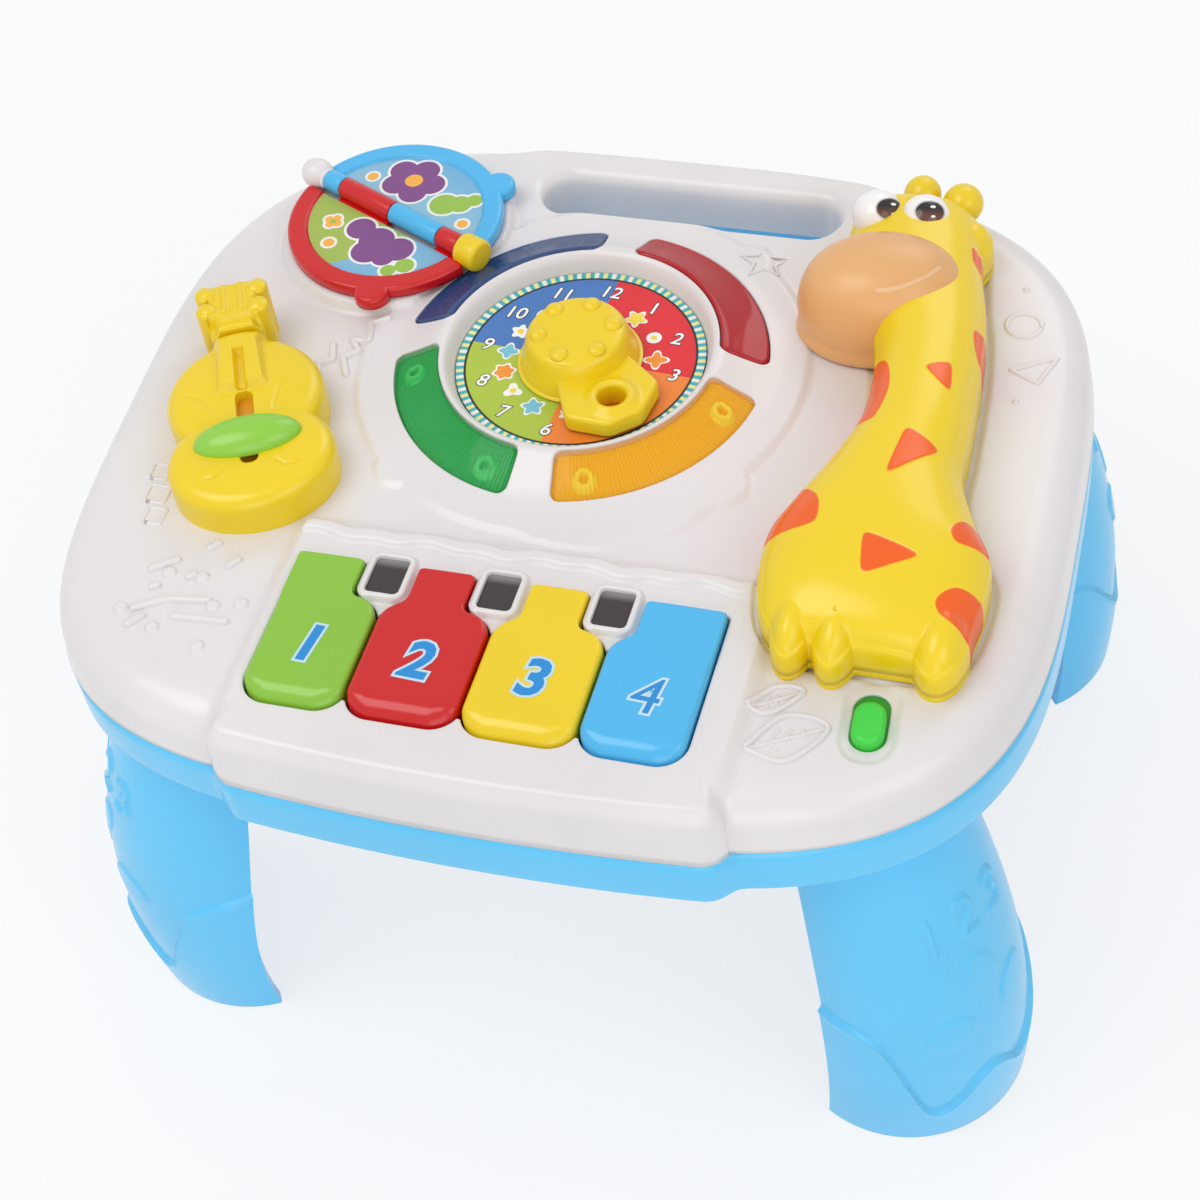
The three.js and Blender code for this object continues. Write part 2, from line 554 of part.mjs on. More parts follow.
function makeKnob() {
  const base = dialTopZ + knob.lift;
  const discLow = boardTopZ + 2 * fit;
  const round = knob.baseRadius - knob.topRadius;
  const body = turned([[0, base], [knob.baseRadius, base], [knob.baseRadius, base + knob.skirtHeight],
    [knob.topRadius + round / 2, base + knob.height - round / 2], [knob.topRadius, base + knob.height],
    [0, base + knob.height]], 2 * smallRound, 0, 0);
  const plateLow = dialTopZ + knob.pointerLift;
  const plateTop = plateLow + knob.pointerThick;
  const plate = raised(pointerShape(), plateLow, plateTop, { bevel: knob.collarRise, steps: 1 });
  const collarTop = plateTop + knob.collarRise;
  const collar = turned([[0, plateLow], [knob.holeRadius + knob.collar, plateLow],
    [knob.holeRadius + knob.collar, plateTop], [knob.holeRadius + knob.collar / 2, collarTop],
    [0, collarTop]], midRound, knob.holeCentre, 0);
  const hole = turned([[0, plateLow - cutOver], [knob.holeRadius, plateLow - cutOver],
    [knob.holeRadius, plateTop], [knob.holeRadius + knob.collar / 3, collarTop],
    [knob.holeRadius + knob.collar / 3, collarTop + cutOver], [0, collarTop + cutOver]],
  smallRound, knob.holeCentre, 0);
  const parts = [body, plate, collar, column(knob.stemRadius, discLow, base + fit, midRound, 0, 0)];
  for (let i = 0; i < knob.studs; i += 1) {
    const turn = (2 * Math.PI * i) / knob.studs;
    const top = base + knob.height + knob.studRise;
    parts.push(turned([[0, base + knob.height - fit], [knob.studRadius, base + knob.height - fit],
      [knob.studRadius, top - knob.studRise / 2], [knob.studRadius / 2, top], [0, top]], smallRound,
    knob.studCircle * Math.cos(turn), knob.studCircle * Math.sin(turn)));
  }
  const at = { x: dial.x, y: dial.y, turn: knob.pointerTurn };
  add('clock_knob', joined(...parts).subtract(hole), colours.yellow, { at });
  const disc = column(knob.discRadius, discLow, discLow + knob.discThick, midRound, 0, 0);
  const discTop = discLow + knob.discThick;
  const bore = column(knob.stemRadius + fit, discLow - cutOver, discTop + cutOver, midRound, 0, 0);
  add('contact_disc', disc.subtract(bore), colours.black, { at });
}

// The flip book, built with its hinge pin along X and then turned into place
const plinthTopZ = deckZ + book.plinthRise;
const bookAxisZ = deckZ + book.axisRise;

function pageShape(radius, start, side) {
  const shape = new THREE.Shape();
  const turn = Math.asin(start / radius);
  if (side > 0) shape.absarc(0, 0, radius, turn, Math.PI - turn, false);
  else shape.absarc(0, 0, radius, Math.PI + turn, 2 * Math.PI - turn, false);
  return shape;
}

function makePage(name, side, colour, own) {
  const low = plinthTopZ + book.pageLift;
  const top = low + book.pageThick;
  const start = book.knuckleRadius + 2 * fit;
  const turn = side * radians(book.tabDegrees);
  const tabOut = book.pageRadius - fit;
  const sheet = raised(pageShape(book.pageRadius, start, side), low, top,
    { bevel: book.inset, steps: 1, curve: book.arcSteps });
  const tab = raised(roundedBox(book.tabRadius, book.tabRadius, book.tabRadius), low, top,
    { bevel: book.inset, steps: 1, x: tabOut * Math.cos(turn), y: tabOut * Math.sin(turn) });
  const parts = [sheet, tab];
  const bores = [raised(pageShape(book.pageRadius - book.border, start + book.inset, side), top - book.inset,
    top + cutOver, { curve: book.arcSteps })];
  for (const k of own) {
    const from = book.knuckleEnds[k] + fit / 2;
    const to = book.knuckleEnds[k + 1] - fit / 2;
    const middle = (from + to) / 2;
    const web = side * (start + book.inset);
    parts.push(barX(book.knuckleRadius, to - from, middle, 0, bookAxisZ));
    parts.push(block(from, to, Math.min(0, web), Math.max(0, web), low + book.inset, top - book.inset));
    bores.push(barX(book.rodRadius + fit, to - from + cutOver, middle, 0, bookAxisZ));
  }
  const capCut = book.capRadius + 2 * fit;
  for (const end of [-1, 1]) {
    bores.push(barX(capCut, 2 * capCut, end * (book.capOut + book.capRadius / 2), 0, bookAxisZ, midRound));
  }
  add(name, joined(...parts).subtract(joined(...bores)), colour, { at: bookPlace });
}

function makeBook() {
  makePage('blue_page', 1, colours.skyBlue, [0, 2]);
  makePage('red_page', -1, colours.red, [1, 3]);
  const rodLength = 2 * book.capOut;
  add('book_hinge_pin', barX(book.rodRadius, rodLength, 0, 0, bookAxisZ), colours.steel,
    { finish: finishes.metal, at: bookPlace });
  const caps = [['white_end_cap', -1, colours.white], ['yellow_end_cap', 1, colours.yellow]];
  for (const [name, side, colour] of caps) {
    const inner = side * (book.knuckleEnds.at(-1) + fit);
    const outer = inner + side * book.footLength;
    const half = book.knuckleRadius - fit;
    const round = ball(book.capRadius, book.capRadius, book.capRadius, side * book.capOut, 0, bookAxisZ);
    const foot = block(Math.min(inner, outer), Math.max(inner, outer), -half, half, plinthTopZ + fit,
      bookAxisZ);
    const neckLength = book.footLength + book.capRadius;
    const neck = barX(half, neckLength, inner + (side * neckLength) / 2, 0, bookAxisZ);
    const bore = barX(book.rodRadius + fit, rodLength + 2 * fit, 0, 0, bookAxisZ);
    const trim = block(-Math.abs(inner), Math.abs(inner), -2 * book.capRadius, 2 * book.capRadius, deckZ,
      bookAxisZ + 2 * book.capRadius);
    const under = block(-2 * book.capOut, 2 * book.capOut, -2 * book.capRadius, 2 * book.capRadius, underZ,
      plinthTopZ + fit);
    add(name, joined(round, foot, neck).subtract(joined(bore, trim, under)), colour, { at: bookPlace });
  }
}

// The violin with its slider, built along +Y and then turned into place
function violinShape(inset) {
  const upper = violin.upperRadius - inset;
  const waistY = -violin.waist;
  const rise = waistY - violin.upperAhead;
  const across = Math.sqrt(upper * upper - rise * rise);
  const half = violin.lowerHalf - inset;
  const reach = violin.lowerReach - inset;
  const dip = Math.asin((waistY + violin.lowerBack) / reach);
  const turn = Math.atan2(rise, across);
  const shape = new THREE.Shape();
  shape.absarc(0, violin.upperAhead, upper, turn, Math.PI - turn, false);
  shape.absellipse(0, -violin.lowerBack, half, reach, Math.PI - dip, 2 * Math.PI + dip, false);
  return shape;
}

const violinLowZ = deckZ + fit;
const violinTopZ = violinLowZ + violin.height;

function makeViolin() {
  const wall = violin.wall;
  const curve = violin.arcSteps;
  const shell = raised(violinShape(0), violinLowZ, violinTopZ, { bevel: violin.edge, curve });
  const hollow = raised(violinShape(wall), violinLowZ - cutOver, violinTopZ - wall, { curve });
  const neckTop = violinTopZ + violin.neckRise;
  const half = violin.neckWidth / 2;
  const neckReach = violin.neckEnd + 2 * wall;
  const neck = raised(roundedBox(half, (neckReach - violin.neckStart) / 2, wall), violinLowZ, neckTop,
    { bevel: fit, steps: 1, curve: 1, y: (neckReach + violin.neckStart) / 2 });
  const neckHollow = block(wall - half, half - wall, violin.neckStart, violin.neckEnd, violinLowZ - cutOver,
    violinTopZ - wall);
  const headMid = violin.neckEnd + violin.headLength / 2;
  const headTop = neckTop + violin.headRise;
  const head = raised(roundedBox(violin.pegOut + wall, violin.headLength / 2, wall), violinLowZ, headTop,
    { bevel: fit, steps: 1, curve: 1, y: headMid });
  const groove = raised(roundedBox(violin.grooveWidth / 2, violin.grooveEnd / 2, violin.grooveWidth / 2),
    neckTop - violin.grooveDepth, neckTop + cutOver, { y: violin.grooveEnd / 2 });
  const valley = block(-violin.grooveWidth, violin.grooveWidth, violin.neckEnd, headMid + violin.headLength,
    headTop - violin.headRise, headTop + cutOver);
  const slot = raised(roundedBox(violin.slotHalf, (violin.slotBack + violin.slotAhead) / 2, violin.slotHalf),
    violinLowZ, violinTopZ + cutOver, { y: (violin.slotAhead - violin.slotBack) / 2 });
  const pegs = [];
  for (const side of [-1, 1]) {
    for (const row of [-1, 1]) {
      pegs.push(ball(violin.pegRadius, violin.pegRadius, violin.pegRadius, side * (violin.pegOut + fit),
        headMid + (row * violin.pegPitch) / 2, headTop - violin.headRise));
    }
  }
  const solid = joined(shell, neck, head).subtract(joined(hollow, neckHollow, groove, valley, slot));
  add('violin_body', joined(solid, ...pegs), colours.yellow, { at: violinPlace });
}

function makeSlider() {
  const low = violinTopZ + slider.lift;
  const dome = ball(slider.halfLength, slider.halfWidth, slider.height, 0, slider.rest, low, midRound);
  const reach = slider.stemHalf;
  const across = violin.slotHalf - 2 * fit;
  const top = violinTopZ - violin.wall - fit;
  const above = block(-slider.halfLength, slider.halfLength, slider.rest - slider.halfWidth,
    slider.rest + slider.halfWidth, low, low + slider.height);
  const stemLow = top - slider.plate - fit;
  const stem = block(-across, across, slider.rest - reach, slider.rest + reach, stemLow, low + fit);
  add('violin_slider', joined(dome.intersect(above), stem), colours.sliderGreen, { at: violinPlace });
  const grip = 2 * violin.slotHalf;
  const plate = block(-grip, grip, slider.rest - 2 * reach, slider.rest + 2 * reach,
    top - slider.plate, top);
  const hole = block(-across - fit, across + fit, slider.rest - reach - fit, slider.rest + reach + fit,
    top - slider.plate - cutOver, top + cutOver);
  add('slider_retainer', plate.subtract(hole), colours.black, { at: violinPlace });
}

// The power switch
const toggleFloorZ = deckZ - toggle.pocketDepth;
const togglePlateZ = deckZ - table.wall - toggle.plateDrop;

const stadium = (half, length) => roundedBox(half, length, half);

function makeToggle() {
  const back = toggle.travel / 2;
  const cap = raised(stadium(toggle.knobHalf, toggle.knobLength), togglePlateZ - fit,
    deckZ + toggle.knobRise, { bevel: toggle.plateThick, y: -back });
  const plate = raised(stadium(toggle.slotHalf + toggle.plateMargin, toggle.plateLength),
    togglePlateZ - toggle.plateThick, togglePlateZ);
  add('power_switch_knob', joined(cap, plate), colours.toggleGreen, { at: togglePlace });
  const top = togglePlateZ - toggle.plateThick - fit;
  const body = block(-toggle.bodyHalf, toggle.bodyHalf, -toggle.bodyLength, toggle.bodyLength,
    top - toggle.bodyHeight, top);
  add('slide_switch', body, colours.steel, { finish: finishes.metal, at: togglePlace });
}

// The giraffe handset. Each row: share of the length from the tail, left and right edge as shares of the
// width from the centre line, and the share of the height.
const bodyRowShares = [
  [0, -0.214, 0.286, 0.45], [0.02, -0.355, 0.43, 0.66], [0.06, -0.43, 0.49, 0.82],
  [0.125, -0.47, 0.518, 0.93], [0.2, -0.473, 0.509, 0.98], [0.265, -0.41, 0.41, 1],
  [0.36, -0.3, 0.3, 1], [0.455, -0.22, 0.285, 1],
  [0.55, -0.225, 0.27, 0.98], [0.64, -0.27, 0.25, 0.96], [0.73, -0.4, 0.215, 0.95],
  [0.82, -0.5, 0.152, 0.96], [0.9, -0.54, 0.11, 0.93], [0.955, -0.5, 0.06, 0.84], [1, -0.38, -0.02, 0.5],
];
const handsetLowZ = deckZ - handset.cradleDepth + fit;
const handsetSplitZ = handsetLowZ + handset.split;

// Each row: share of the half width and of the height
const muzzleRowShares = [
  [0, 0], [0.95, 0], [1, 0.2], [1, 0.42], [0.93, 0.63], [0.8, 0.79], [0.56, 0.92], [0.26, 0.985], [0, 1],
];

function handsetRows() {
  return bodyRowShares.map(([along, left, right, height]) => ({
    y: handsetTail + along * handset.length, left: handsetX + left * handset.width,
    right: handsetX + right * handset.width, top: handsetLowZ + height * handset.height,
  }));
}

function handsetShape(grow) {
  const rows = handsetRows();
  const shape = new THREE.Shape();
  const last = rows.length - 1;
  const outline = [];
  const ends = (i) => (i === last ? grow : i === 0 ? -grow : 0);
  rows.forEach((row, i) => outline.push([row.right + grow, row.y + ends(i)]));
  rows.slice().reverse().forEach((row, i) => outline.push([row.left - grow, row.y + ends(last - i)]));
  outline.forEach(([x, y], i) => (i ? shape.lineTo(x, y) : shape.moveTo(x, y)));
  return shape;
}

function handsetArch() {
  const rings = handsetRows().map((row) => {
    const middle = (row.left + row.right) / 2;
    const half = (row.right - row.left) / 2;
    const ring = [];
    for (let i = 0; i < handset.archPoints; i += 1) {
      const turn = (Math.PI * i) / (handset.archPoints - 1);
      const c = Math.cos(turn);
      const x = middle + half * Math.sign(c) * Math.abs(c) ** (2 / handset.archPower);
      const z = handsetSplitZ + (row.top - handsetSplitZ) * Math.sin(turn) ** (2 / handset.archPower);
      ring.push(new THREE.Vector3(x, row.y, z));
    }
    return ring;
  });
  return lofted(rings, (p) => [p.x, p.z]);
}

function muzzleBun(grow) {
  const low = deckZ + fit - grow;
  const points = muzzleRowShares.map(([radius, rise]) => new THREE.Vector2(
    radius * (1 + grow / muzzle.halfWide), low + rise * (muzzle.height + 2 * grow)));
  const geometry = new THREE.LatheGeometry(points, 2 * smallRound).rotateX(Math.PI / 2);
  geometry.scale(muzzle.halfLong, muzzle.halfWide, 1).rotateZ(radians(muzzle.turn));
  return solidOf(geometry.translate(handsetX + muzzle.shift, handsetTail + muzzle.ahead, 0));
}

function eyeBall(shift, grow) {
  const radius = eye.radius + grow;
  const y = handsetTail + eye.ahead;
  return ball(radius, radius, radius, handsetX + shift, y, handsetLowZ + eye.rise, midRound);
}

function makeHandset() {
  const span = table.halfWidth;
  const muzzleCut = muzzleBun(fit);
  const eyesCut = joined(eyeBall(eye.leftShift, fit), eyeBall(eye.rightShift, fit));
  const parts = [handsetArch()];
  for (const off of handsetFoot.places) {
    parts.push(ball(handsetFoot.radius, handsetFoot.reach, handsetFoot.height, handsetX + off,
      handsetTail + handsetFoot.ahead, handsetSplitZ));
  }
  for (const [off, ahead] of horn.places) {
    const y = handsetTail + ahead;
    parts.push(ball(horn.radius, horn.radius, horn.radius, handsetX + off, y, deckZ + horn.rise));
  }
  const [earOff, earAhead] = horn.earPlace;
  const earY = handsetTail + earAhead;
  parts.push(ball(horn.ear, horn.earTall, horn.ear, handsetX + earOff, earY, deckZ + horn.rise));
  const lowerHalf = block(0, 2 * span, -span, span, 0, handsetSplitZ);
  const cuts = joined(muzzleCut, eyesCut);
  add('handset_front', joined(...parts).subtract(joined(cuts, lowerHalf)), colours.yellow);
  const back = raised(handsetShape(-fit), handsetLowZ, handsetSplitZ - fit);
  add('handset_back', back.subtract(cuts), colours.yellow);
  const leftCut = eyeBall(eye.leftShift, fit);
  const rightCut = eyeBall(eye.rightShift, fit);
  add('handset_muzzle', muzzleBun(0).subtract(joined(leftCut, rightCut)), colours.beige);
  add('handset_eye_left', eyeBall(eye.leftShift, 0), colours.eyeWhite);
  add('handset_eye_right', eyeBall(eye.rightShift, 0).subtract(leftCut), colours.eyeWhite);
}

// The legs: curved C-section shells with a round collar that plugs into the tray
const legTopX = table.halfWidth - leg.topInsetX;
const legTopY = (side) => side * ((side > 0 ? table.backReach : table.frontReach) - leg.topInsetY);
const collarRadius = leg.topRadius - leg.wall;

function makeLeg(name, sideX, sideY) {
  const reach = sideY > 0 ? table.backReach : table.frontReach;
  const rings = [];
  for (let i = 0; i <= leg.rings; i += 1) {
    const share = i / leg.rings;
    const bulge = 4 * share * (1 - share);
    const mix = (low, high) => low + (high - low) * share;
    const x = table.halfWidth - mix(leg.footInsetX, leg.topInsetX) + leg.bulgeX * bulge;
    const y = reach - mix(leg.footInsetY, leg.topInsetY) + leg.bulgeY * bulge;
    const outer = mix(leg.footRadius, leg.topRadius) + leg.bulgeRadius * bulge;
    const ring = [];
    for (const [radius, from, to] of [[outer, -1, 1], [outer - leg.wall, 1, -1]]) {
      for (let j = 0; j <= leg.arcSteps; j += 1) {
        const turn = radians(leg.facing + leg.halfSpan * (from + ((to - from) * j) / leg.arcSteps));
        ring.push(new THREE.Vector3(sideX * (x + radius * Math.cos(turn)),
          sideY * (y + radius * Math.sin(turn)), share * (underZ - fit)));
      }
    }
    rings.push(ring);
  }
  const x = sideX * legTopX;
  const y = legTopY(sideY);
  const plate = column(leg.topRadius - fit, underZ - fit - leg.plate, underZ - fit, midRound, x, y);
  const top = underZ + leg.collarHeight - fit;
  const collar = column(collarRadius, underZ - fit - leg.plate / 2, top, midRound, x, y);
  const cup = column(collarRadius - leg.collarWall, underZ, top + cutOver, midRound, x, y);
  add(name, joined(lofted(rings), plate, collar).subtract(cup), colours.blue);
}

// Batteries, contacts, door and speaker
const batteryZ = underZ + battery.doorThick + battery.lift + battery.radius;
const bayHalfX = (battery.length + battery.nubLength) / 2 + battery.contact + 2 * fit;
const bayHalfY = (battery.count * battery.spacing) / 2 + fit;
const roofZ = batteryZ + battery.radius + battery.lift;

function makeBatteries() {
  for (let i = 0; i < battery.count; i += 1) {
    const way = i % 2 ? -1 : 1;
    const half = (battery.length + battery.nubLength) / 2;
    const cell = barX(battery.radius, battery.length, (-way * battery.nubLength) / 2, 0, 0, midRound);
    const nub = barX(battery.nubRadius, 2 * battery.nubLength, way * (half - battery.nubLength), 0, 0);
    const y = battery.y + (i - (battery.count - 1) / 2) * battery.spacing;
    add(`battery_${i + 1}`, joined(cell, nub), colours.battery, { at: { x: batteryX, y, z: batteryZ } });
  }
  for (const [name, side] of [['left', -1], ['right', 1]]) {
    const inner = batteryX + side * (bayHalfX - fit);
    const outer = inner - side * battery.contact;
    const strip = block(Math.min(inner, outer), Math.max(inner, outer), battery.y - bayHalfY + fit,
      battery.y + bayHalfY - fit, batteryZ - battery.radius / 2, batteryZ + battery.radius / 2);
    add(`battery_contact_${name}`, strip, colours.brass, { finish: finishes.metal });
  }
}

function doorBlock(grow, low, high) {
  const left = batteryX - bayHalfX - battery.screwTab - grow;
  const right = batteryX + bayHalfX + battery.doorEdge + grow;
  const half = bayHalfY + battery.doorEdge + grow;
  return block(left, right, battery.y - half, battery.y + half, low, high);
}
const doorScrewX = batteryX - bayHalfX - battery.screwTab / 2;

function screwSolid(x, y, headLow, length, shank, head, headThick) {
  return turned([[0, headLow], [head, headLow], [head, headLow + headThick], [shank, headLow + headThick],
    [shank, headLow + length], [0, headLow + length]], smallRound, x, y);
}

function makeDoor() {
  const head = 2 * battery.screwRadius;
  const half = battery.doorThick / 2;
  const sink = column(head + fit, underZ - cutOver, underZ + half, smallRound, doorScrewX, battery.y);
  const hole = column(battery.screwRadius + fit, underZ - cutOver, underZ + 2 * battery.doorThick,
    smallRound, doorScrewX, battery.y);
  const plate = doorBlock(0, underZ, underZ + battery.doorThick);
  add('battery_door', plate.subtract(joined(sink, hole)), colours.blue);
  const doorScrew = screwSolid(doorScrewX, battery.y, underZ, battery.screwLength, battery.screwRadius,
    head, half - fit);
  add('battery_door_screw', doorScrew, colours.steel, { finish: finishes.metal });
}

function makeSpeaker() {
  const low = floorZ + fit;
  const profile = [[0, low + speaker.frame], [speaker.radius - speaker.magnetRadius / 2, low],
    [speaker.radius, low], [speaker.radius, low + speaker.frame],
    [speaker.magnetRadius, low + speaker.height / 2], [speaker.magnetRadius, low + speaker.height],
    [0, low + speaker.height]];
  add('speaker', turned(profile, 2 * smallRound, speakerX, speaker.y), colours.black);
}

// Circuit boards and the rubber contacts under the keys
const keyPostY = pivotY - keys.postBack;
const keyBoardZ = floorZ + board.keyRise;
const keyBoardHalfX = (keys.count * keys.pitch) / 2 - fit;

function makeBoards() {
  const main = raised(roundedBox(board.half, board.half, board.postRadius), floorZ + board.height, boardTopZ,
    { curve: 1, x: dial.x, y: dial.y });
  add('main_board', main, colours.board);
  const at = { curve: 1, x: keys.groupX, y: keyPostY };
  const small = raised(roundedBox(keyBoardHalfX, board.keyHalfDepth, board.thick), keyBoardZ,
    keyBoardZ + board.thick, at);
  add('key_board', small, colours.board);
  const low = keyBoardZ + board.thick + fit;
  const base = raised(roundedBox(keyBoardHalfX - fit, dome.radius + dome.baseThick, dome.baseThick), low,
    low + dome.baseThick, at);
  const parts = [base];
  for (let k = 0; k < keys.count; k += 1) {
    const x = (keyLeft(k) + keyRight(k)) / 2;
    parts.push(turned([[0, low], [dome.radius, low], [dome.radius, low + dome.baseThick],
      [dome.topRadius, low + dome.baseThick + dome.height], [0, low + dome.baseThick + dome.height]],
    smallRound, x, keyPostY));
  }
  add('key_contact_strip', joined(...parts), colours.rubber, { finish: finishes.soft });
}

function boardPosts() {
  const posts = [];
  const out = board.half - board.postInset;
  for (const sx of [-1, 1]) {
    for (const sy of [-1, 1]) {
      posts.push(column(board.postRadius, floorZ - fit, floorZ + board.height - fit, smallRound,
        dial.x + sx * out, dial.y + sy * out));
      posts.push(column(board.postRadius, floorZ - fit, keyBoardZ - fit, smallRound,
        keys.groupX + sx * (keyBoardHalfX - board.postInset),
        keyPostY + sy * (board.keyHalfDepth - board.postRadius)));
    }
  }
  return joined(...posts);
}

// Housing screws, up through the tray into the hood
const screwHeadZ = underZ + 2 * table.wall;

function makeScrews() {
  screwPlaces.forEach(([x, y], i) => {
    add(`housing_screw_${i + 1}`, screwSolid(x, y, screwHeadZ, screw.length + screw.headThick, screw.radius,
      screw.headRadius, screw.headThick), colours.steel, { finish: finishes.metal });
  });
}

// The hood, open below
function hoodRings(inset, drop, foot) {
  const rings = [tableRing(inset, foot), tableRing(inset + table.draft, deckZ - table.edgeDrop - drop)];
  for (let i = 1; i <= table.edgeSteps; i += 1) {
    const turn = (Math.PI / 2) * (i / table.edgeSteps);
    rings.push(tableRing(inset + table.draft + table.edgeReach * (1 - Math.cos(turn)),
      deckZ - drop - table.edgeDrop * (1 - Math.sin(turn))));
  }
  return rings;
}

function makeTopShell() {
  const wall = table.wall;
  const hood = lofted(hoodRings(0, 0, seamZ));
  const hoodHollow = lofted(hoodRings(wall, wall, seamZ - cutOver));
  const bayBlock = raised(bayShape(0, bayBackY), seamZ, bayTopZ, { bevel: bay.edge });
  const bayHollow = raised(bayShape(wall, bayBackY - wall), seamZ - cutOver, bayTopZ - wall);
  const plinth = turned([[0, deckZ - fit], [book.plinthRadius + wall, deckZ - fit],
    [book.plinthRadius, plinthTopZ - fit], [book.plinthRadius - fit, plinthTopZ], [0, plinthTopZ]],
  dial.segments, bookPlace.x, bookPlace.y);
  let shell = joined(hood, bayBlock, turretSkin(), plinth);
  shell = shell.subtract(joined(hoodHollow, bayHollow, turretHollow()));
  const bosses = screwPlaces.map(([x, y, roof]) => (
    column(screw.bossRadius, seamZ, roof - wall / 2, smallRound, x, y)));
  shell = joined(shell, handleSolid(wall, seamZ, deckZ - fit), keyBrackets(), ...bosses);
  const cuts = [handleSolid(0, seamZ - cutOver, deckZ + cutOver)];
  cuts.push(raised(handsetShape(handset.cradleGap), deckZ - handset.cradleDepth, bayTopZ + cutOver));
  cuts.push(muzzleBun(fit));
  for (let k = 0; k < keys.count; k += 1) {
    cuts.push(raised(keyShape(k, keys.wellGap), bayTopZ - wall - cutOver, bayTopZ + cutOver));
    if (k + 1 < keys.count) {
      cuts.push(raised(windowPlan(0), bayTopZ - wall - cutOver, bayTopZ + cutOver,
        { x: windowX(k), y: windowY }));
    }
  }
  for (let k = 0; k < lens.count; k += 1) cuts.push(lensPrism(0, 0, k));
  const deckTop = deckZ + cutOver;
  const deckLow = deckZ - wall - cutOver;
  cuts.push(column(knob.stemRadius + fit, deckLow, deckTop, midRound, dial.x, dial.y));
  cuts.push(raised(stadium(toggle.pocketHalf, toggle.pocketLength), toggleFloorZ, deckTop, togglePlace));
  cuts.push(raised(stadium(toggle.slotHalf, toggle.slotLength), deckLow, deckTop, togglePlace));
  for (const [x, y] of screwPlaces) {
    cuts.push(column(screw.radius + fit, seamZ - cutOver, deckZ - wall, smallRound, x, y));
  }
  const boreLength = keys.count * keys.pitch + 2 * keys.bracket + cutOver;
  cuts.push(barX(keys.rodRadius + fit, boreLength, keys.groupX, pivotY, pivotZ));
  add('top_shell', shell.subtract(joined(...cuts)), colours.white);
}

function makeBottomShell() {
  const wall = table.wall;
  const top = seamZ - fit;
  const skin = lofted([tableRing(table.rimRound, underZ), tableRing(0, underZ + table.rimRound),
    tableRing(0, top)]);
  const hollow = lofted([tableRing(wall + table.rimRound, floorZ), tableRing(wall, floorZ + table.rimRound),
    tableRing(wall, top + cutOver)]);
  const bayBlock = raised(bayShape(0, bayBackY), underZ, top);
  const bayHollow = raised(bayShape(wall, bayBackY), floorZ, top + cutOver);
  let shell = joined(skin, bayBlock).subtract(joined(hollow, bayHollow));
  const sleeve = handleSolid(wall, underZ, top);
  const boxOut = doorBlock(battery.boxWall - battery.doorEdge, underZ, roofZ + battery.roof);
  const seatIn = speaker.radius + fit;
  const seatOut = seatIn + speaker.seat;
  const ring = turned([[seatIn, floorZ - fit], [seatOut, floorZ - fit], [seatOut, floorZ + speaker.seatRise],
    [seatIn, floorZ + speaker.seatRise], [seatIn, floorZ - fit]], 2 * smallRound, speakerX, speaker.y);
  const parts = [sleeve, boxOut, ring, boardPosts()];
  const cuts = [handleSolid(0, underZ - cutOver, top + cutOver)];
  cuts.push(doorBlock(fit, underZ - cutOver, underZ + battery.doorThick + fit));
  cuts.push(block(batteryX - bayHalfX, batteryX + bayHalfX, battery.y - bayHalfY, battery.y + bayHalfY,
    underZ, roofZ));
  cuts.push(column(battery.screwRadius + fit, underZ, underZ + battery.screwLength + fit, smallRound,
    doorScrewX, battery.y));
  for (const [x, y] of screwPlaces) {
    parts.push(column(screw.bossRadius + fit, floorZ - fit, top, smallRound, x, y));
    cuts.push(column(screw.headRadius + fit, underZ - cutOver, screwHeadZ + screw.headThick + fit,
      smallRound, x, y));
    cuts.push(column(screw.radius + fit, underZ, top + cutOver, smallRound, x, y));
  }
  const collarTop = underZ + leg.collarHeight;
  for (const sideX of [-1, 1]) {
    for (const sideY of [-1, 1]) {
      const x = sideX * legTopX;
      const y = legTopY(sideY);
      parts.push(column(collarRadius + fit + wall, floorZ - fit, collarTop + wall, midRound, x, y));
      cuts.push(column(collarRadius + fit, underZ - cutOver, collarTop, midRound, x, y));
    }
  }
  const switchLow = togglePlateZ - toggle.plateThick - fit - toggle.bodyHeight;
  parts.push(column(toggle.postRadius, collarTop + wall / 2, switchLow - fit, smallRound, togglePlace.x,
    togglePlace.y));
  for (let i = 0; i < speaker.grilleSlots; i += 1) {
    const off = (i - (speaker.grilleSlots - 1) / 2) * speaker.slotPitch;
    const reach = Math.sqrt((speaker.radius - speaker.slotPitch) ** 2 - off ** 2);
    cuts.push(raised(roundedBox(speaker.slotHalf, reach, speaker.slotHalf), underZ - cutOver, floorZ + fit,
      { curve: 2, x: speakerX + off, y: speaker.y }));
  }
  shell = joined(shell, ...parts).subtract(joined(...cuts));
  add('bottom_shell', shell, colours.blue);
}

makeTopShell();
makeBottomShell();
makeKeys();
makeWindowInserts();
makeLenses();
makeDial();
makeKnob();
makeBook();
makeViolin();
makeSlider();
makeToggle();
makeHandset();
for (const [name, sideX, sideY] of [['leg_front_left', -1, -1], ['leg_front_right', 1, -1],
  ['leg_back_left', -1, 1], ['leg_back_right', 1, 1]]) {
  makeLeg(name, sideX, sideY);
}
makeBatteries();
makeDoor();
makeSpeaker();
makeBoards();
makeScrews();

// The middle of the whole, with the bay's bowed front, is the origin
object.position.y = (table.frontReach + bay.proud + bay.bow - table.backReach) / 2;
const placed = new THREE.Group();
placed.add(object);

export default placed;
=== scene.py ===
import math
from functools import reduce
import bpy
import numpy as np
from mathutils import Matrix, Vector


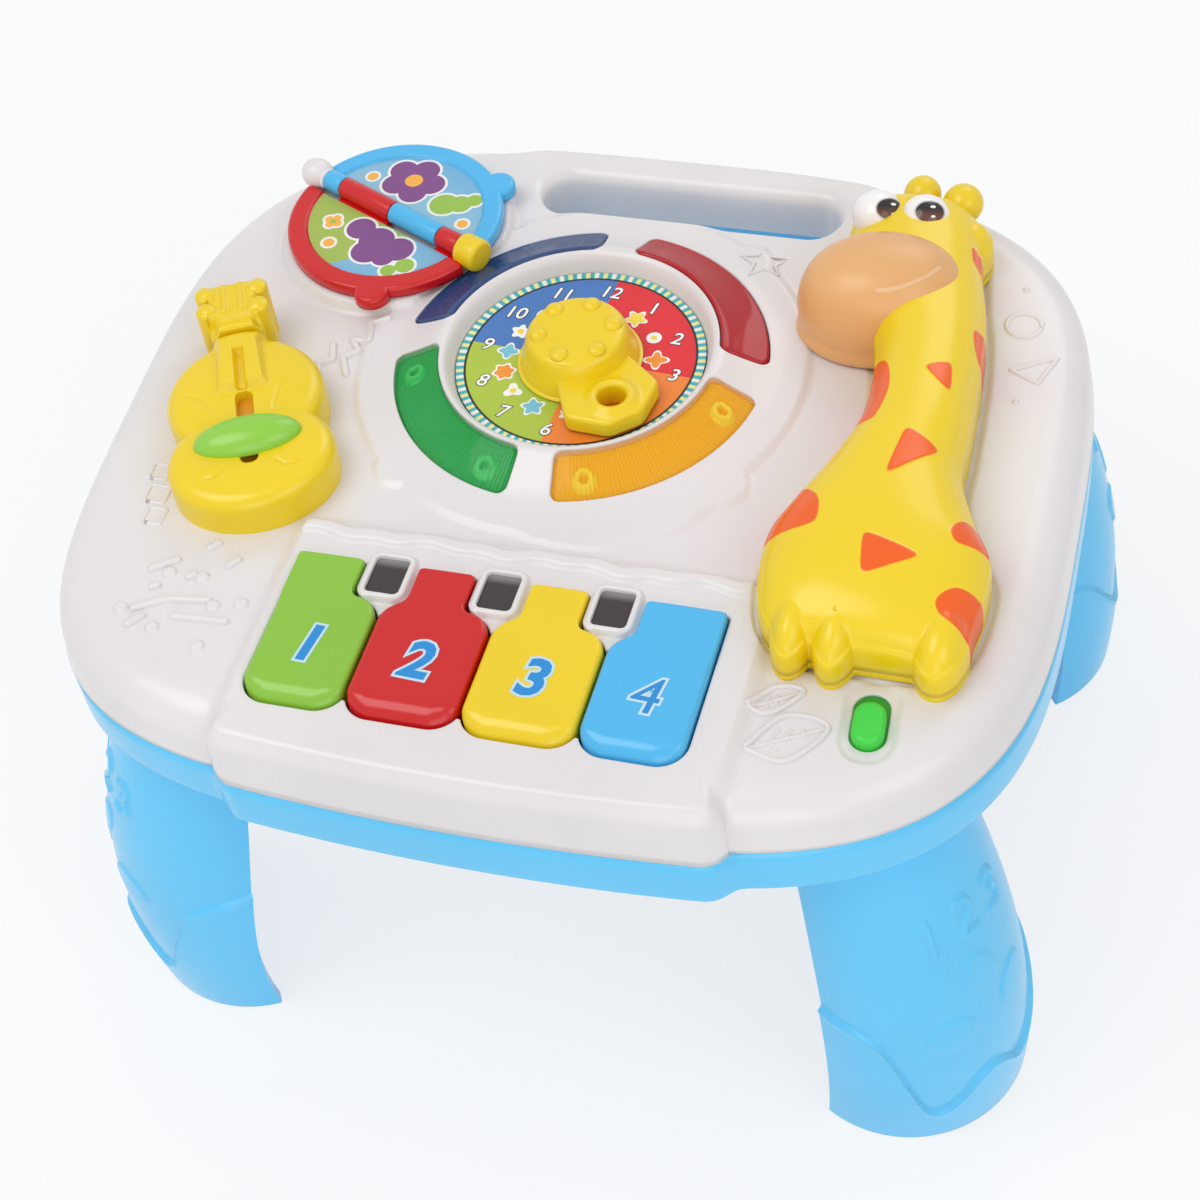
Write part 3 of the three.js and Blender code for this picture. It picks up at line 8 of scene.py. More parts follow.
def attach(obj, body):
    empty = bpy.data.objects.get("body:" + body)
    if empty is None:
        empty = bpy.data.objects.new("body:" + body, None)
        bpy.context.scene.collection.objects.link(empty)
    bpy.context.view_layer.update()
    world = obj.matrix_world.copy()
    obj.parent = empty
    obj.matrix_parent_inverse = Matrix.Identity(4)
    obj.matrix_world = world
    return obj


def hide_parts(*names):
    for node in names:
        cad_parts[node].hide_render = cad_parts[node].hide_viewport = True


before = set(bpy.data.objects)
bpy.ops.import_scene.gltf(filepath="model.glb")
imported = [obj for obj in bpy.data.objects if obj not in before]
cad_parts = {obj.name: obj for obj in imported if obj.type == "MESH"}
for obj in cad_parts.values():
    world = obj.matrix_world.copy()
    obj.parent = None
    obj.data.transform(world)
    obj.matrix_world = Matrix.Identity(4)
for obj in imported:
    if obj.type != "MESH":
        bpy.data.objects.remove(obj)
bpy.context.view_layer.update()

MM = 0.001
DRAWING_SHIFT = np.array([0.0, 4.7, 0.0])   # the drawing's origin, seen from the frame's, in mm
PI = math.pi
TRIANGLE = -1   # the fourth index of a face that has only three corners

# Levels and plan sizes, as in the part's source, in mm
UNDER, SEAM, DECK, BAY_TOP, KEY_TOP = 119.4, 132.0, 147.0, 150.0, 152.2
HALF_WIDTH, BACK, POWER = 129.2, 110.2, 3.3
FRONT, FRONT_POWER = (113.4, 114.1), (3.85, 3.42)   # left and right of the middle
BAY_HALF, BAY_FRONT, BAY_BACK, BAY_BOW = 64.0, -115.4, -42.7, 3.2
SKIRT_DROP = 3.0   # how far the tray's outer wall reaches below its flat underside
KEY_FRONT, KEY_BACK, NECK_FRONT, NOTCH = -102.7, -56.7, -82.0, 12.0
KEY_EDGES = [(-58.7, -32.8, -58.7, -41.1), (-32.0, -3.4, -26.4, -11.7),
             (-2.6, 26.0, 3.0, 17.7), (26.8, 52.7, 32.4, 52.7)]
WINDOW_X, WINDOW_Y, WINDOW_HALF = (-34.0, -4.6, 24.8), -60.3, (4.5, 5.8)
DIAL, DIAL_TOP = (-8.2, 23.0), 149.6
DIAL_TILT = -3.5   # degrees by which the printed dial is turned
TURRET_SKIRT = 62.5   # radius of the turret's low skirt between its lobes
BOOK, BOOK_TURN, PLINTH_TOP, HINGE_Z = (-75.1, 65.9), math.radians(-24.5), 150.3, 154.9
BOOK_BASE = 33.8   # radius of the round base under the book
VIOLIN, VIOLIN_TURN, VIOLIN_TOP = (-88.0, -16.5), math.radians(25), 158.7
SWITCH, SWITCH_TURN = (91.9, -78.4), math.radians(4.6)
HANDLE_X, HANDLE_Y, HANDLE_HALF = 4.0, 90.25, (43.0, 8.25)
LENS_IN, LENS_OUT, LENS_HALF, LENS_CORNER = 37.6, 50.4, math.radians(38), 2.6
RELIEF_SINK = 0.03   # how deep the foot of a raised motif lies in its surface


# Plan fields: the depth inside an outline in mm, positive inside
def ramp(value, low, high):
    """Smooth step from 0 at low to 1 at high."""
    t = np.clip((value - low) / (high - low), 0, 1)
    return t * t * (3 - 2 * t)


def join_soft(a, b, soft):
    """Union of two depths with a fillet about soft wide."""
    h = np.clip(0.5 + 0.5 * (a - b) / soft, 0, 1)
    return b + (a - b) * h + soft * h * (1 - h)


def turned(x, y, centre, turn):
    """Coordinates of (x, y) in a plan frame moved to centre and turned."""
    dx, dy, c, s = x - centre[0], y - centre[1], math.cos(turn), math.sin(turn)
    return dx * c + dy * s, dy * c - dx * s


def rounded_depth(qx, qy, corner):
    """Depth inside rounded sides, for a point that lies qx and qy past the centre of the corner's arc."""
    return corner - np.hypot(np.maximum(qx, 0), np.maximum(qy, 0)) - np.minimum(np.maximum(qx, qy), 0)


def box_depth(x, y, centre, half, corner):
    """Depth inside a box with rounded corners."""
    return rounded_depth(np.abs(x - centre[0]) - half[0] + corner, np.abs(y - centre[1]) - half[1] + corner,
                         corner)


def disc_depth(x, y, centre, radius):
    """Depth inside a disc: its radius less the distance to its centre."""
    return radius - np.hypot(x - centre[0], y - centre[1])


def ellipse_depth(x, y, centre, half):
    """Depth inside an ellipse, to first order."""
    u, v = (x - centre[0]) / half[0], (y - centre[1]) / half[1]
    k = np.hypot(u, v) + 1e-9
    return (1 - k) * k / (np.hypot(u / half[0], v / half[1]) + 1e-9)


def polygon_depth(x, y, corners, soft):
    """Depth inside a convex outline given counter-clockwise, its corners rounded by a soft minimum."""
    total = 0
    for (ax, ay), (bx, by) in zip(corners, corners[1:] + corners[:1]):
        length = math.hypot(bx - ax, by - ay)
        edge = ((bx - ax) * (y - ay) - (by - ay) * (x - ax)) / length
        total = total + np.exp(np.clip(-edge / soft, -60, 60))
    return -soft * np.log(total)


def path_gap(x, y, path):
    """Distance to a broken line of plan points."""
    gap = np.full(np.shape(x), 1e6)
    for (ax, ay), (bx, by) in zip(path, path[1:]):
        dx, dy = bx - ax, by - ay
        t = np.clip(((x - ax) * dx + (y - ay) * dy) / (dx * dx + dy * dy), 0, 1)
        gap = np.minimum(gap, np.hypot(x - ax - t * dx, y - ay - t * dy))
    return gap


def hood_depth(x, y):
    """Depth inside the superellipse of the table: (1 - gauge) over the gauge's slope."""
    x = x + 3.4 * ramp(y, -70, 60)
    side = ramp(x, -60, 60)
    reach = np.where(y > 0, BACK + 1.6, FRONT[0] + (FRONT[1] - FRONT[0]) * side)
    power = POWER + (FRONT_POWER[0] + (FRONT_POWER[1] - FRONT_POWER[0]) * side - POWER) * ramp(-y, -20, 40)
    u, v = np.abs(x) / HALF_WIDTH, np.abs(y) / reach
    gauge = (u ** power + v ** power) ** (1 / power) + 1e-9
    slope = gauge ** (1 - power) * np.hypot(u ** (power - 1) / HALF_WIDTH, v ** (power - 1) / reach)
    return (1 - gauge) / (slope + 1e-9)


def bay_depth(x, y):
    """Depth inside the keyboard bay, a rounded box whose front edge bows out in a parabola."""
    bow = BAY_BOW * np.clip(1 - (x / BAY_HALF) ** 2, 0, 1) * ramp(-y, 60, 110)
    middle = (BAY_FRONT + BAY_BACK) / 2
    return box_depth(x, y + bow, (0, middle), (BAY_HALF, (BAY_BACK - BAY_FRONT) / 2), 5.0)


def outline_depth(x, y):
    """Depth inside the table: the hood and the bay, joined by a fillet."""
    return join_soft(hood_depth(x, y), bay_depth(x, y), 5.0)


def bay_share(x, y):
    """1 where the bay makes the outline and 0 where the hood does."""
    return ramp(bay_depth(x, y) - hood_depth(x, y), -4, 3)


def rim_reach(x, y):
    """Width of the rolled edge: wide round the hood, narrow round the bay and behind the handle."""
    share = bay_share(x, y)
    rail = ramp(y, 60, 84) * ramp(-np.abs(x - HANDLE_X), -62, -46)
    return 11 + (3.6 - 11) * share + (5.4 - 11) * rail


def rim_drop(x, y):
    """Height of the rolled edge: 9 mm round the hood and 4 mm round the bay."""
    return 9 + (4 - 9) * bay_share(x, y)


def key_depth(k, x, y):
    """Depth inside key k: a broad front joined to a narrow neck, with a fillet on the notched sides only."""
    left, right, neck_left, neck_right = KEY_EDGES[k]
    shoulder = KEY_BACK - NOTCH
    middle = (KEY_FRONT + shoulder) / 2
    corner = np.where(y < middle, 7.0, 6.0)
    front = box_depth(x, y, ((left + right) / 2, middle), ((right - left) / 2, (shoulder - KEY_FRONT) / 2),
                      corner)
    neck = box_depth(x, y, ((neck_left + neck_right) / 2, (KEY_BACK + NECK_FRONT) / 2),
                     ((neck_right - neck_left) / 2, (KEY_BACK - NECK_FRONT) / 2), 0.9)
    gate = ramp(y, -75, -71) * ramp(-y, 58, 61)
    if neck_left == left:
        gate = gate * ramp(x, left + 6, left + 11)
    if neck_right == right:
        gate = gate * ramp(-x, 6 - right, 11 - right)
    return join_soft(front, neck, 0.02 + 4.0 * gate)


def window_depth(x, y, margin=0.0):
    """Depth inside the nearest of the three windows, each grown by margin."""
    half = (WINDOW_HALF[0] + margin, WINDOW_HALF[1] + margin)
    return np.max([box_depth(x, y, (w, WINDOW_Y), half, 1.4 + margin) for w in WINDOW_X], axis=0)


def round_dial(x, y, facing=0.0):
    """Radius about the dial's axis, and the angle from facing between -pi and pi."""
    dx, dy = x - DIAL[0], y - DIAL[1]
    return np.hypot(dx, dy), (np.arctan2(dy, dx) - facing + PI) % (2 * PI) - PI


def lens_middle(k):
    """The direction in which lens k lies from the dial."""
    return PI / 4 + k * PI / 2


def lens_depth(k, x, y):
    """Depth inside lens k, a rounded box in arc length and radius about the dial's axis."""
    radius, angle = round_dial(x, y, lens_middle(k))
    past_end = np.abs(angle) * radius - LENS_HALF * radius + LENS_CORNER
    past_side = np.abs(radius - (LENS_IN + LENS_OUT) / 2) - (LENS_OUT - LENS_IN) / 2 + LENS_CORNER
    return rounded_depth(past_end, past_side, LENS_CORNER)


# The handset's rows from tail to head, as shares of its length, its width (left, right) and its height
HANDSET_ROWS = np.array([
    [0, -0.214, 0.286, 0.45], [0.02, -0.355, 0.43, 0.66], [0.06, -0.43, 0.49, 0.82],
    [0.125, -0.47, 0.518, 0.93], [0.2, -0.473, 0.509, 0.98], [0.265, -0.41, 0.41, 1],
    [0.36, -0.3, 0.3, 1], [0.455, -0.22, 0.285, 1], [0.55, -0.225, 0.27, 0.98], [0.64, -0.27, 0.25, 0.96],
    [0.73, -0.4, 0.215, 0.95], [0.82, -0.5, 0.152, 0.96], [0.9, -0.54, 0.11, 0.93],
    [0.955, -0.5, 0.06, 0.84], [1, -0.38, -0.02, 0.5]])
HANDSET_X, HANDSET_TAIL, HANDSET_LENGTH, HANDSET_WIDTH, HANDSET_TALL = 84.0, -66.0, 156.0, 56.0, 23.0
HANDSET_LOW = DECK - 0.7
HANDSET_SPLIT = HANDSET_LOW + 6.5


def smooth_line(points, count):
    """Points of a Catmull-Rom curve through the given rows, count of them."""
    points = np.asarray(points, float)
    padded = np.vstack([2 * points[0] - points[1], points, 2 * points[-1] - points[-2]])
    t = np.linspace(0, len(points) - 1, count)
    i = np.minimum(t.astype(int), len(points) - 2)
    f = (t - i)[:, None]
    a, b, c, d = (padded[i + j] for j in range(4))
    return 0.5 * (2 * b + (c - a) * f + (2 * a - 5 * b + 4 * c - d) * f ** 2
                  + (3 * b - a - 3 * c + d) * f ** 3)


HANDSET_FINE = smooth_line(HANDSET_ROWS, 400)


def handset_depth(x, y):
    """Depth inside the handset without toes and ear: the least of the gaps to its sides and ends. The gaps to
    the sides are taken across the row, so they are eased for the sides' slant."""
    along = (y - HANDSET_TAIL) / HANDSET_LENGTH
    left, right = (HANDSET_X + HANDSET_WIDTH * np.interp(along, HANDSET_FINE[:, 0], HANDSET_FINE[:, i])
                   for i in (1, 2))
    ends = np.minimum(y - HANDSET_TAIL, HANDSET_TAIL + HANDSET_LENGTH - y)
    return np.minimum(np.minimum(x - left, right - x) * 0.85, ends)


# The turret's section, as (radius, height above the deck)
TURRET_PROFILE = smooth_line([[32.6, 0.0], [33.6, 1.6], [34.6, 4.6], [35.8, 6.9], [37.3, 7.8], [39.0, 7.5],
                              [41.5, 6.2], [45.0, 4.4], [49.0, 2.7], [52.6, 1.7], [56.0, 1.4],
                              [60.0, 1.3]], 90)
# Lobes of the turret's skirt: direction in degrees, distance from the dial and radius
SKIRT_LOBES = [(-130, 57.5, 8.2), (-62, 31, 38), (-37, 59.5, 8.6), (53, 57.5, 8.2), (143, 57.5, 8.2)]


def deck_height(x, y):
    """The hood's upper surface: the deck, the bay, the book's base, the turret and the hollows, in mm."""
    z = DECK + (BAY_TOP - DECK) * ramp(bay_depth(x, y), -2.2, 3.4)
    reach = rim_reach(x, y)
    inward = np.clip(1 - outline_depth(x, y) / reach, 0, 0.97)
    z = z - rim_drop(x, y) * (1 - np.sqrt(1 - inward ** 2))
    z = z + (PLINTH_TOP - DECK) * ramp(disc_depth(x, y, BOOK, BOOK_BASE), 0, 1.9)
    radius = np.hypot(x - DIAL[0], y - DIAL[1])
    skirt = TURRET_SKIRT - radius
    for turn, out, wide in SKIRT_LOBES:
        place = (DIAL[0] + out * math.cos(math.radians(turn)), DIAL[1] + out * math.sin(math.radians(turn)))
        skirt = join_soft(skirt, disc_depth(x, y, place, wide), 1.2)
    outside_bay = 1 - ramp(bay_depth(x, y), -4, 1)
    outside_book = 1 - ramp(disc_depth(x, y, BOOK, BOOK_BASE + 1.7), -2, 1)
    z = z + 1.3 * ramp(skirt, 0, 3.2) * outside_bay * outside_book
    inner = np.interp(radius, TURRET_PROFILE[:, 0], TURRET_PROFILE[:, 1])
    z = np.where(radius < 59, np.maximum(DECK + inner, np.where(radius < 54, 0, z)), z)
    z = z - 1.0 * ramp(handset_depth(x, y) + 1.0, -0.5, 0.5)
    z = z + 1.9 * ramp(window_depth(x, y, 2.3), 0.0, 1.2)
    wave = -47.0 + 0.7 * np.sin(x / 5.5) + 0.5 * np.sin(x / 2.3 + 1)
    rail = np.minimum(2.6 - np.abs(y - wave), 62.5 - np.abs(x))
    z = z + 1.2 * ramp(rail, -0.4, 1.6)
    sx, sy = turned(x, y, SWITCH, SWITCH_TURN)
    return z - 1.0 * ramp(box_depth(sx, sy, (0, 0), (7.6, 13.4), 7.6), 0, 2.2)


# Mesh building
def grid_faces(rows, columns, wrap=False):
    """Index quads of a grid, row by row, closed across its columns if wrap is set."""
    r, c = np.meshgrid(np.arange(rows - 1), np.arange(columns if wrap else columns - 1), indexing="ij")
    a = r * columns + c
    b = r * columns + (c + 1) % columns
    return np.stack([a, b, b + columns, a + columns], -1).reshape(-1, 4)


def quads(triangles):
    """Triangles as faces of four indices."""
    return np.column_stack([triangles, np.full(len(triangles), TRIANGLE)])


def turned_round(faces):
    """Faces with their corners in the opposite order, so that they look the other way."""
    return np.where(faces[:, 3:4] < 0, faces[:, [2, 1, 0, 3]], faces[:, [3, 2, 1, 0]])


def turned_over(part):
    """A part mirrored in the plane of height 0, its faces still pointing outwards."""
    points, faces = part
    return points * np.array([1, 1, -1.0]), turned_round(faces)


def signed(level, p):
    """Value over slope of a plan field at points p, and its unit gradient."""
    e = 0.04
    value = level(p[:, 0], p[:, 1])
    gx = (level(p[:, 0] + e, p[:, 1]) - level(p[:, 0] - e, p[:, 1])) / (2 * e)
    gy = (level(p[:, 0], p[:, 1] + e) - level(p[:, 0], p[:, 1] - e)) / (2 * e)
    size = np.hypot(gx, gy) + 1e-9
    return value / np.maximum(size, 0.3), np.stack([gx / size, gy / size], 1)


def at_points(value, p):
    """A constant or a plan field as one number for each point."""
    return value(p[:, 0], p[:, 1]) if callable(value) else np.full(len(p), float(value))


class Rim:
    """An edge of a sheet. depth is positive on the kept side; the edge rolls over by reach and drop in a
    quarter ellipse, then a wall runs down to the height foot, leaning out by draft. The sheet's own height
    may follow the quarter ellipse up to the angle start."""

    def __init__(self, depth, reach=0.0, drop=0.0, foot=None, draft=0.0, steps=6, walls=2, under=0.0,
                 start=0.0):
        """steps and walls are the rows of the rolled edge and of the wall. under is the width of a flange
        that turns inwards from the wall's foot."""
        self.depth, self.reach, self.drop, self.foot = depth, reach, drop, foot
        self.draft, self.steps, self.walls, self.under, self.start = draft, steps, walls, under, start

    def level(self, x, y):
        """Positive where the sheet itself stays: the depth less the width that the rolled edge takes."""
        reach = self.reach(x, y) if callable(self.reach) else self.reach
        return self.depth(x, y) - reach * (1 - math.sin(self.start))

    def rows(self, p, z):
        """Points of the rolled edge and the wall, row by row outwards from the cut points p at height z."""
        out = -signed(self.depth, p)[1]
        reach, drop = at_points(self.reach, p), at_points(self.drop, p)
        rows = []
        if self.steps:
            for angle in np.linspace(self.start, PI / 2, self.steps + 1)[1:]:
                shift = (reach * (math.sin(angle) - math.sin(self.start)))[:, None] * out
                rows.append(np.column_stack([p + shift, z - drop * (math.cos(self.start) - math.cos(angle))]))
        if self.foot is not None:
            low = at_points(self.foot, p)
            reach = reach * (1 - math.sin(self.start))
            edge = z - drop * math.cos(self.start)
            for share in np.linspace(0, 1, self.walls + 1)[1:]:
                shift = (reach + self.draft * share)[:, None] * out
                rows.append(np.column_stack([p + shift, edge * (1 - share) + low * share]))
            if self.under:
                shift = (reach + self.draft - self.under)[:, None] * out
                rows.append(np.column_stack([p + shift, low]))
        return rows


def areas(p, faces):
    """Plan areas of faces: half the cross product of a face's diagonals."""
    last = np.where(faces[:, 3:4] < 0, faces[:, 2:3], faces[:, 3:4])
    a, b, c, d = (p[i] for i in (faces[:, 0], faces[:, 1], faces[:, 2], last[:, 0]))
    ac, bd = c - a, d - b
    return np.abs(ac[:, 0] * bd[:, 1] - ac[:, 1] * bd[:, 0]) / 2


def sheet(gx, gy, height, rims, cell, wrap=False, drop_faces=None, closed=None):
    """A height field over a plan grid, cut along the rims. Grid points within half a cell of a rim move
    onto it, faces beyond it go, and the rim's own rows are added. closed gives the height of a flat
    underside, joined to the rims' last rows. Returns points and faces."""
    p = np.stack([gx.ravel(), gy.ravel()], 1).astype(float)
    faces = grid_faces(*gx.shape, wrap=wrap)
    owner = np.full(len(p), -1)
    state = np.ones(len(p), int)
    for i, rim in enumerate(rims):
        distance, slope = signed(rim.level, p)
        near = np.abs(distance) < 0.515 * cell
        state[(distance < 0) & ~near] = -1
        p[near] -= (distance[:, None] * slope)[near]
        again, slope = signed(rim.level, p[near])
        p[near] -= again[:, None] * slope
        owner[near] = i
        state[near & (state > 0)] = 0
    if drop_faces is not None:
        middle = p[faces].mean(1)
        faces = faces[~drop_faces(middle[:, 0], middle[:, 1])]
    s = state[faces]
    gone = (s < 0).sum(1)
    halves = []
    for corner in range(4):
        rest = [(corner + j) % 4 for j in (1, 2, 3)]
        halves.append(quads(faces[(gone == 1) & (s[:, corner] < 0)][:, rest]))
    faces = np.vstack([faces[gone == 0], *halves])
    present = np.where(faces < 0, faces[:, :1], faces)
    edge_only = (state[present] == 0).all(1)
    middle = p[present].mean(1)
    inside = np.ones(len(faces), bool)
    for rim in rims:
        inside &= rim.level(middle[:, 0], middle[:, 1]) > 0
    faces = faces[~edge_only | (inside & (areas(p, faces) > 0.12 * cell * cell))]
    z = height(p[:, 0], p[:, 1])
    points = [np.column_stack([p, z])]
    count = len(p)
    following = np.where(faces[:, 3:4] < 0, faces[:, [1, 2, 0, 0]], faces[:, [1, 2, 3, 0]])
    valid = faces >= 0
    edges = np.stack([faces[valid], following[valid]], 1)
    key = edges.min(1).astype(np.int64) * count + edges.max(1)
    _, first, times = np.unique(key, return_index=True, return_counts=True)
    border = edges[first[times == 1]]
    added = []
    total = count
    beneath = np.full(count, -1)
    for i, rim in enumerate(rims):
        mine = border[(owner[border] == i).all(1)]
        if not len(mine):
            continue
        used, local = np.unique(mine.ravel(), return_inverse=True)
        local = local.reshape(-1, 2)
        previous = used[local]
        rows = rim.rows(p[used], z[used])
        if closed is not None:
            rows.append(np.column_stack([p[used], np.full(len(used), closed)]))
        for row in rows:
            points.append(row)
            nxt = local + total
            added.append(np.column_stack([previous[:, 1], previous[:, 0], nxt[:, 0], nxt[:, 1]]))
            previous = nxt
            total += len(used)
        beneath[used] = np.arange(total - len(used), total)
    if closed is not None:
        rest = beneath < 0
        beneath[rest] = np.arange(rest.sum()) + total
        points.append(np.column_stack([p[rest], np.full(rest.sum(), closed)]))
        added.append(turned_round(np.where(faces >= 0, beneath[faces], TRIANGLE)))
    return compact(np.vstack(points), np.vstack([faces] + added))


def compact(points, faces):
    """Drops points that no face uses."""
    used = np.unique(faces[faces >= 0])
    index = np.full(len(points) + 1, -1)
    index[used] = np.arange(len(used))
    return points[used], np.where(faces >= 0, index[faces], TRIANGLE)


def plate(box, step, height, outline, holes=(), closed=None):
    """A sheet over the box (x0, x1, y0, y1), kept inside its outline rim and cut by its hole rims."""
    x0, x1, y0, y1 = box
    nx, ny = max(int((x1 - x0) / step), 4), max(int((y1 - y0) / step), 4)
    gx, gy = np.meshgrid(np.linspace(x0, x1, nx), np.linspace(y0, y1, ny))
    level = height if callable(height) else flat(height)
    return sheet(gx, gy, level, [outline, *holes], step * 1.02, closed=closed)


def merged(*parts):
    """Several (points, faces) pairs as one."""
    points, faces, start = [], [], 0
    for p, f in parts:
        if f.shape[1] == 3:
            f = quads(f)
        points.append(p)
        faces.append(np.where(f >= 0, f + start, TRIANGLE))
        start += len(p)
    return np.vstack(points), np.vstack(faces)


def placed(part, centre=(0, 0), turn=0.0, lift=0.0):
    """A part turned about the vertical and moved in plan."""
    p, f = part
    c, s = math.cos(turn), math.sin(turn)
    return np.column_stack([p[:, 0] * c - p[:, 1] * s + centre[0], p[:, 0] * s + p[:, 1] * c + centre[1],
                            p[:, 2] + lift]), f


def rings(points, close_ends=True):
    """A skin through closed rings, array rows by columns by 3, its end rings closed by fans."""
    rows, columns = points.shape[:2]
    p = points.reshape(-1, 3)
    faces = [grid_faces(rows, columns, wrap=True)]
    if close_ends:
        p = np.vstack([p, points[0].mean(0), points[-1].mean(0)])
        i = np.arange(columns)
        j = (i + 1) % columns
        last = (rows - 1) * columns
        faces.append(quads(np.column_stack([j, i, np.full(columns, len(p) - 2)])))
        faces.append(quads(np.column_stack([last + i, last + j, np.full(columns, len(p) - 1)])))
    return p, np.vstack(faces)


def lathe(profile, segments=96, centre=(0.0, 0.0), close_ends=True):
    """A profile of (radius, height) rows from the bottom up, turned about the vertical."""
    profile = np.asarray(profile, float)
    angle = np.linspace(0, 2 * PI, segments, endpoint=False)
    radius, z = profile[:, :1], profile[:, 1:2]
    grid = np.stack([centre[0] + radius * np.cos(angle), centre[1] + radius * np.sin(angle),
                     z + 0 * angle], -1)
    return rings(grid, close_ends)


def ellipsoid(centre, half, segments=48, rows=25, top_only=False):
    """An ellipsoid, or its upper half: a circle's arc, turned and then scaled."""
    turn = np.linspace(0.0 if top_only else -PI / 2, PI / 2, rows)
    p, f = lathe(np.column_stack([np.maximum(np.cos(turn), 1e-4), np.sin(turn)]), segments)
    return p * np.array(half) + np.array(centre), f


def rod(a, b, radius, segments=40, round_end=0.0):
    """A round bar from a to b, its ends rounded by round_end."""
    a, b = np.array(a, float), np.array(b, float)
    axis = (b - a) / np.linalg.norm(b - a)
    side = np.cross(axis, [0, 0, 1.0])
    side = side / np.linalg.norm(side) if np.linalg.norm(side) > 1e-6 else np.array([1.0, 0, 0])
    up = np.cross(side, axis)
    length = np.linalg.norm(b - a)
    turn = np.linspace(0, PI / 2, 5)
    inset = round_end * (1 - np.sin(turn))
    along = np.concatenate([round_end * (1 - np.cos(turn)), length - round_end * (1 - np.cos(turn[::-1]))])
    wide = radius - np.concatenate([inset, inset[::-1]])
    angle = np.linspace(0, 2 * PI, segments, endpoint=False)
    circle = np.cos(angle)[:, None] * up + np.sin(angle)[:, None] * side
    grid = a + along[:, None, None] * axis + wide[:, None, None] * circle
    return rings(grid)


def straight_line(points, step=0.4):
    """Points along a broken line, about step apart."""
    points = np.asarray(points, float)
    run = np.concatenate([[0], np.cumsum(np.linalg.norm(np.diff(points, axis=0), axis=1))])
    s = np.linspace(0, run[-1], max(int(run[-1] / step), 6))
    return np.column_stack([np.interp(s, run, points[:, 0]), np.interp(s, run, points[:, 1])])


def ribbon(line, width, tall, under, across=11):
    """A raised line along plan points, lying on the height function under. Its section rises by tall times
    (1 - t^4) across t = -1 to 1, and its ends are round."""
    tangent = np.gradient(line, axis=0)
    tangent /= np.linalg.norm(tangent, axis=1)[:, None] + 1e-9
    side = np.column_stack([-tangent[:, 1], tangent[:, 0]])
    run = np.concatenate([[0], np.cumsum(np.linalg.norm(np.diff(line, axis=0), axis=1))])
    near = np.clip(np.minimum(run, run[-1] - run) / (width / 2), 0, 1)
    ends = np.sqrt(1 - (1 - near) ** 2)[:, None]
    t = np.sin(np.linspace(-PI / 2, PI / 2, across))
    plan = line[:, None, :] + (t * width / 2 * np.maximum(ends, 0.05))[..., None] * side[:, None, :]
    z = under(plan[..., 0], plan[..., 1]) + tall * ends * (1 - t ** 4) - RELIEF_SINK
    p = np.concatenate([plan, z[..., None]], -1).reshape(-1, 3)
    return p, grid_faces(len(line), across)[:, ::-1]


def rosette(centre, radius, lobes, depth, level, turn=0.0, count=48):
    """A flat figure of radius r = radius (1 + depth cos(lobes angle)), as a fan about its centre."""
    angle = np.linspace(0, 2 * PI, count, endpoint=False)
    r = radius * (1 + depth * np.cos(lobes * angle))
    ring = np.column_stack([centre[0] + r * np.cos(angle + turn), centre[1] + r * np.sin(angle + turn),
                            np.full(count, level)])
    i = np.arange(count)
    fan = np.column_stack([i, (i + 1) % count, np.full(count, count)])
    return np.vstack([ring, [centre[0], centre[1], level]]), quads(fan)


def mound(depth, box, step, tall, soft, under):
    """A raised patch with a soft edge inside the outline depth, lying on the height function under."""
    return plate(box, step, lambda x, y: under(x, y) + tall * ramp(depth(x, y), 0, soft) - RELIEF_SINK,
                 Rim(depth, steps=0))


def round_grid(radius, angle):
    """Plan grid of rings about the dial's axis, one row for each radius."""
    return DIAL[0] + radius[:, None] * np.cos(angle), DIAL[1] + radius[:, None] * np.sin(angle)


def flat(level):
    """A height field of one level."""
    return lambda x, y: np.full_like(x, float(level))


def make(name, part, finish, body, replaces=(), sharp=None):
    """The mesh object of a part in drawing millimetres, riding on a body of the frame."""
    points, faces = part
    mesh = bpy.data.meshes.new(name)
    if faces.shape[1] == 3:
        faces = quads(faces)
    totals = (faces >= 0).sum(1)
    starts = np.concatenate([[0], np.cumsum(totals)[:-1]])
    mesh.vertices.add(len(points))
    mesh.vertices.foreach_set("co", ((points + DRAWING_SHIFT) * MM).ravel())
    mesh.loops.add(int(totals.sum()))
    mesh.loops.foreach_set("vertex_index", faces[faces >= 0].ravel())
    mesh.polygons.add(len(faces))
    mesh.polygons.foreach_set("loop_start", starts)
    mesh.polygons.foreach_set("loop_total", totals)
    mesh.update(calc_edges=True)
    mesh.validate()
    mesh.shade_smooth()
    if sharp:
        mesh.set_sharp_from_angle(angle=math.radians(sharp))
    mesh.materials.append(finish)
    piece = bpy.data.objects.new(name, mesh)
    bpy.context.scene.collection.objects.link(piece)
    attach(piece, body)
    if replaces:
        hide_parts(*replaces)
    return piece


